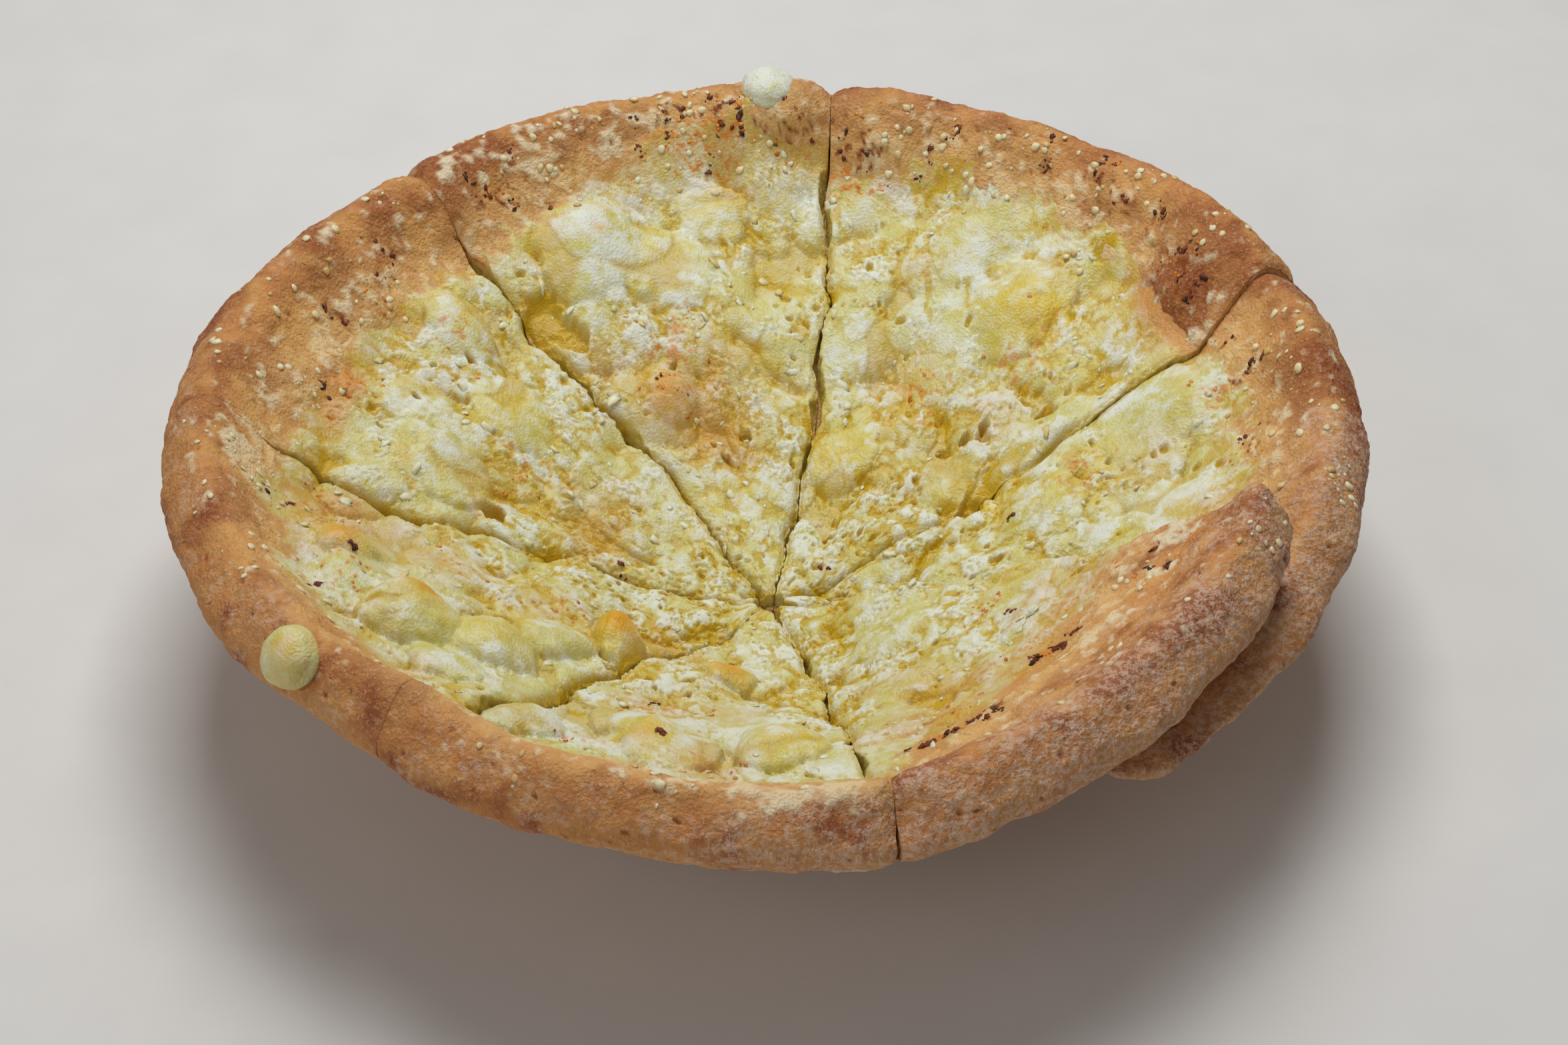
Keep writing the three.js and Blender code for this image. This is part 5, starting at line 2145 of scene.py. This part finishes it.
@dataclass
class Scatter:
    """Many small closed bits of one kind, set on the slices' surfaces."""

    name: str
    slices: dict[int, Slice]
    clusters: tuple[Cluster, ...]
    seed: int
    size: Pair
    flat: Pair
    stretch: Pair
    jagged: float
    rings: int
    sides: int
    sunk: float
    together: int = 1
    apart: float = 0.0
    tilt: float = 0.0
    inside: Pair = (0.02, 0.98)
    outermost: float = 0.985

    def places(self) -> Bits:
        """Spreads each cluster's bits as a drawn bell round its middle, a few together.

        Returns:
            The bits' places.
        """
        points, normals = [np.zeros((0, 3))], [np.zeros((0, 3))]
        for number, cluster in enumerate(self.clusters):
            each = np.arange(cluster.number)
            group = each // self.together
            reach = cluster.spread * np.sqrt(-np.log(1.0 - 0.95 * draw(group, number, self.seed)))
            turn = 2.0 * np.pi * draw(group, number, self.seed, 1)
            apart = self.apart * (draw(each, number, self.seed, 8) * 2.0 - 1.0)
            aside = self.apart * (draw(each, number, self.seed, 9) * 2.0 - 1.0)
            radial = cluster.distance + reach * np.cos(turn) + apart
            angle = cluster.angle + np.degrees((reach * np.sin(turn) + aside) / cluster.distance)
            piece = next(one for one in self.slices.values() if one.plan.holds(cluster.angle))
            share, across = piece.bread.loaf.locate(piece.plan, angle, radial)
            kept = (across > self.inside[0]) & (across < self.inside[1]) & (share < self.outermost)
            point, normal = piece.surface(share[kept], across[kept])
            points.append(point)
            normals.append(normal)
        joined = np.concatenate(points)
        chance = draw(np.arange(len(joined)), 0, self.seed, 2)
        return Bits(joined, np.concatenate(normals), lerp(*self.size, chance**1.6))

    def build(self, material: bpy.types.Material, extra: Bits | None = None) -> bpy.types.Object:
        """Builds all bits as one mesh: rings of corners between two poles, each pushed by a draw.

        Args:
            material: Their finish.
            extra: Places of further bits.

        Returns:
            The piece.
        """
        bits = self.places()
        if extra is not None:
            bits = Bits.joined([bits, extra])
        each = np.arange(len(bits.points))
        unit = unit_ball(self.rings + 2, self.sides)
        corner = np.arange(unit.shape[0] * unit.shape[1]).reshape(unit.shape[:2])
        push = 1.0 + self.jagged * (draw(each[:, None, None], corner[None], self.seed, 3) * 2.0 - 1.0)
        push[:, 0, :] = push[:, 0, :1]
        push[:, -1, :] = push[:, -1, :1]
        sway = np.stack([draw(each, axis, self.seed, 10) - 0.5 for axis in range(3)], axis=-1)
        normals = bits.normals + self.tilt * sway
        normals = normals / np.linalg.norm(normals, axis=-1, keepdims=True)
        turn = 2.0 * np.pi * draw(each, 1, self.seed, 4)
        helper = np.stack([np.cos(turn), np.sin(turn), 0.37 * np.sin(3.0 * turn)], axis=-1)
        side = np.cross(helper, normals)
        side = side / np.linalg.norm(side, axis=-1, keepdims=True)
        axes = np.stack([side, np.cross(normals, side), normals], axis=1)
        long = bits.sizes * lerp(*self.stretch, draw(each, 2, self.seed, 5))
        tall = bits.sizes * lerp(*self.flat, draw(each, 3, self.seed, 6))
        scale = np.stack([long, bits.sizes, tall], axis=-1)[:, None, None, :]
        middle = bits.points + normals * (tall * (1.0 - self.sunk))[:, None]
        local = unit[None] * push[..., None] * scale
        world = middle[:, None, None, :] + np.einsum("nrsk,nkj->nrsj", local, axes)
        tint = draw(each, 4, self.seed, 7)[:, None, None] + 0.0 * push
        shell = Shell()
        shell.balls(world, masks(ramp(tint, 0.55, 1.0)))
        return shell.build(self.name, material)


@dataclass(frozen=True)
class LargeGrains:
    """The larger grains of hard cheese, evenly spread along each slice's crust."""

    per_slice: int = 7
    size: Pair = (0.55, 1.15)
    share: Pair = (0.845, 0.95)
    across: Pair = (0.1, 0.9)
    across_pressed: Pair = (0.5, 0.9)
    clear_of_blob: float = 12.0

    def places(self, slices: dict[int, Slice], blobs: list[Array]) -> Bits:
        """Draws the grains' places and sizes.

        Args:
            slices: The slices by number.
            blobs: Middles of the blobs of cheese, which the grains keep clear of.

        Returns:
            The grains' places.
        """
        bits = []
        grain = np.arange(self.per_slice)
        for number, piece in slices.items():
            column = (number - 1) * 64 + grain
            pressed = piece.plan.role is Role.CARRIER
            start, end = self.across_pressed if pressed else self.across
            across = lerp(start, end, (grain + draw(column, 1, Seed.GRAINS)) / self.per_slice)
            share = lerp(*self.share, draw(column, 2, Seed.GRAINS))
            point, normal = piece.surface(share, across)
            away = np.min([np.linalg.norm(point - each, axis=-1) for each in blobs], axis=0)
            free = away > self.clear_of_blob
            size = lerp(*self.size, draw(column, 3, Seed.GRAINS))
            bits.append(Bits(point[free], normal[free], size[free]))
        return Bits.joined(bits)


@dataclass(frozen=True)
class Curds:
    """White curds that stand out of the melted cheese, thick in some places and missing in others."""

    per_slice: int = 120
    size: Pair = (0.4, 1.15)
    inner: float = 9.0
    across: Pair = (0.02, 0.98)
    across_pressed: Pair = (0.45, 0.98)
    gathered: Pair = (15.0, 5.0)

    def places(self, slices: dict[int, Slice]) -> Bits:
        """Draws the curds evenly over each slice, and keeps those where a swell gathers them.

        Args:
            slices: The slices by number.

        Returns:
            The curds' places.
        """
        bits = []
        each = np.arange(self.per_slice)
        for number, piece in slices.items():
            column = number * 4096 + each
            pressed = piece.plan.role is Role.CARRIER
            start, end = self.across_pressed if pressed else self.across
            across = lerp(start, end, draw(column, 1, Seed.CURD))
            most = lerp(*piece.plan.bare, across)
            distance = np.sqrt(lerp(self.inner**2, most**2, draw(column, 2, Seed.CURD)))
            point, normal = piece.surface(distance / piece.bread.loaf.radius, across)
            crowd = swells(point, Seed.CURD + 1, (1.0, self.gathered[0]), (0.6, self.gathered[1]))
            smooth = np.max([spot.cap(point[:, 0], point[:, 1]) for spot in DOMES], axis=0)
            kept = (crowd + 0.5 * draw(column, 3, Seed.CURD) > 0.2) & (smooth < 0.7)
            size = lerp(*self.size, draw(column, 4, Seed.CURD) ** 2)
            bits.append(Bits(point[kept], normal[kept], size[kept]))
        return Bits.joined(bits)


@dataclass(frozen=True)
class Lamp:
    """A soft square light: its place and width in metres, its power in watts and its colour."""

    name: str
    place: Triple
    size: float
    power: float
    colour: Triple
    aim: Triple = (0.0, 0.0, 0.04)

    def hang(self) -> None:
        """Hangs the light in the scene, aimed at the loaf."""
        data = bpy.data.lights.new(self.name, "AREA")
        data.size = self.size
        data.energy = self.power
        data.color = self.colour
        lamp = bpy.data.objects.new(self.name, data)
        lamp.location = self.place
        direction = Vector(self.aim) - Vector(self.place)
        lamp.rotation_euler = direction.to_track_quat("-Z", "Y").to_euler()
        bpy.context.scene.collection.objects.link(lamp)


LAMPS = (
    Lamp("overhead", (0.0, 0.3, 0.95), 0.5, 7.05, (1.0, 0.995, 0.975)),
    Lamp("front_fill", (-0.8, -0.95, 0.7), 0.9, 3.7, (1.0, 0.985, 0.965)),
)


@dataclass(frozen=True)
class Studio:
    """The pale floor, the soft lights and the camera at the picture's angle."""

    target: Triple = (2.9, -31.5, 56.7)
    elevation: float = 39.86
    distance: float = 695.0
    lens: float = 75.0
    sensor: float = 36.0
    floor_size: float = 6.0
    world_light: float = 0.14

    def camera(self) -> None:
        """Makes the camera, which looks along +Y and down at the loaf."""
        target = Vector(self.target) + Vector((*LOAF_SHIFT, 0.0))
        tilt = math.radians(self.elevation)
        away = Vector((0.0, -math.cos(tilt), math.sin(tilt)))
        data = bpy.data.cameras.new("camera")
        data.lens = self.lens
        data.sensor_width = self.sensor
        data.sensor_fit = "HORIZONTAL"
        data.clip_start = 0.01
        camera = bpy.data.objects.new("camera", data)
        camera.location = (target + away * self.distance) * MM
        camera.rotation_euler = (-away).to_track_quat("-Z", "Y").to_euler()
        bpy.context.scene.collection.objects.link(camera)
        bpy.context.scene.camera = camera

    def lights(self) -> None:
        """Hangs a large light over the back, a weak one at the front left, and dims the surroundings."""
        for lamp in LAMPS:
            lamp.hang()
        world = bpy.data.worlds.new("surroundings")
        world.use_nodes = True
        sky = world.node_tree.nodes["Background"]
        sky.inputs["Color"].default_value = (1.0, 0.99, 0.96, 1.0)
        sky.inputs["Strength"].default_value = self.world_light
        bpy.context.scene.world = world
        bpy.context.scene.view_settings.view_transform = "Standard"

    def floor(self, material: bpy.types.Material) -> None:
        """Lays the floor: a flat grid of four squares.

        Args:
            material: Its finish.
        """
        line = np.linspace(-0.5, 0.5, 3) * self.floor_size
        x, y = np.meshgrid(line, line, indexing="ij")
        points = np.stack([x, y, 0.0 * x], axis=-1).reshape(-1, 3)
        index = np.arange(9).reshape(3, 3)
        quads = np.stack([index[:-1, :-1], index[1:, :-1], index[1:, 1:], index[:-1, 1:]], axis=-1)
        mesh = bpy.data.meshes.new("floor")
        mesh.from_pydata(points.tolist(), [], quads.reshape(-1, 4).tolist())
        mesh.materials.append(material)
        floor = bpy.data.objects.new("floor", mesh)
        bpy.context.scene.collection.objects.link(floor)


def place(piece: bpy.types.Object, slot: Slot, node: str | None = None) -> None:
    """Fixes a piece to the loaf's body, in place of a solid where it stands for one.

    Args:
        piece: The piece.
        slot: Material slot; not used.
        node: Solid that it stands for.
    """
    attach(piece, BODY)
    if node is not None:
        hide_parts(node)


def main() -> None:
    """Builds the studio, the slices, the blobs and what is scattered on them, in that order."""
    logging.basicConfig(level=logging.INFO, format="%(name)s: %(message)s")
    groups = SurfaceGroups()
    crust = CrustFinish("baked_crust", roughness=0.78, bump=0.8, subsurface=0.0, depth=1.0,
                        specular=0.3).make(groups)
    cheese = CheeseFinish("melted_cheese", roughness=0.32, bump=0.6, subsurface=0.4, depth=2.2).make(groups)
    hard = CrumbFinish("hard_cheese", roughness=0.5, bump=0.3, subsurface=0.25, depth=1.2).make(groups)
    white = CrumbFinish("white_curds", roughness=0.45, bump=0.4, subsurface=0.3, depth=1.5,
                        light=(238, 237, 212), dark=(232, 226, 180), burnt=(226, 206, 140)).make(groups)
    dark = CrumbFinish("dark_flakes", roughness=0.6, bump=0.4, subsurface=0.0, depth=1.0,
                       light=(136, 58, 26), dark=(92, 36, 18), burnt=(54, 22, 14), lumps=900.0).make(groups)
    rust = CrumbFinish("rusty_specks", roughness=0.55, bump=0.3, subsurface=0.0, depth=1.0,
                       light=(232, 160, 60), dark=(218, 130, 42), burnt=(192, 98, 30),
                       lumps=900.0).make(groups)
    studio = Studio()
    studio.camera()
    studio.lights()
    studio.floor(FloorFinish("pale_floor", roughness=0.9, bump=0.1, subsurface=0.0, depth=1.0).make(groups))

    loaf = Loaf()
    slices = {}
    for number, plan in enumerate(SLICES, start=1):
        piece = Slice(plan, BreadWedge(plan, loaf), CheeseLayer(plan, loaf))
        place(piece.bread.build(crust), Slot.CRUST, f"{plan.name}_bread")
        place(piece.cheese.build(cheese), Slot.CHEESE, f"{plan.name}_cheese")
        slices[number] = piece

    middles = []
    for bubble_plan in BUBBLES:
        plan = next(each for each in SLICES if each.name == bubble_plan.slice_name)
        bubble = CheeseBubble(bubble_plan, plan, loaf)
        place(bubble.build(cheese), Slot.CHEESE, bubble_plan.node)
        middles.append(bubble.seat()[0])

    curds = Scatter("white_cheese_curds", slices, (), Seed.CURD, size=(0.3, 0.9), flat=(0.3, 0.5),
                    stretch=(1.0, 2.0), jagged=0.45, rings=3, sides=7, sunk=1.1, tilt=0.5)
    place(curds.build(white, Curds().places(slices)), Slot.CHEESE)
    grains = Scatter("hard_cheese_grains", slices, CRUMBS, Seed.SCATTER, size=(0.3, 1.0), flat=(0.4, 0.6),
                     stretch=(1.0, 1.45), jagged=0.2, rings=4, sides=8, sunk=0.8)
    place(grains.build(hard, LargeGrains().places(slices, middles)), Slot.CHEESE)
    flakes = Scatter("dark_baked_flakes", slices, FLAKES, Seed.FLAKE, size=(0.22, 0.75), flat=(0.2, 0.35),
                     stretch=(1.0, 1.9), jagged=0.6, rings=2, sides=5, sunk=0.35, together=4, apart=1.1,
                     tilt=0.6)
    place(flakes.build(dark), Slot.CRUST)
    specks = Scatter("rusty_oil_specks", slices, SPECKS, Seed.RUST, size=(0.2, 0.65), flat=(0.2, 0.35),
                     stretch=(1.0, 1.5), jagged=0.25, rings=2, sides=7, sunk=0.85, together=2, apart=1.3,
                     tilt=0.3)
    place(specks.build(rust), Slot.CHEESE)


if __name__ == "__main__":
    main()
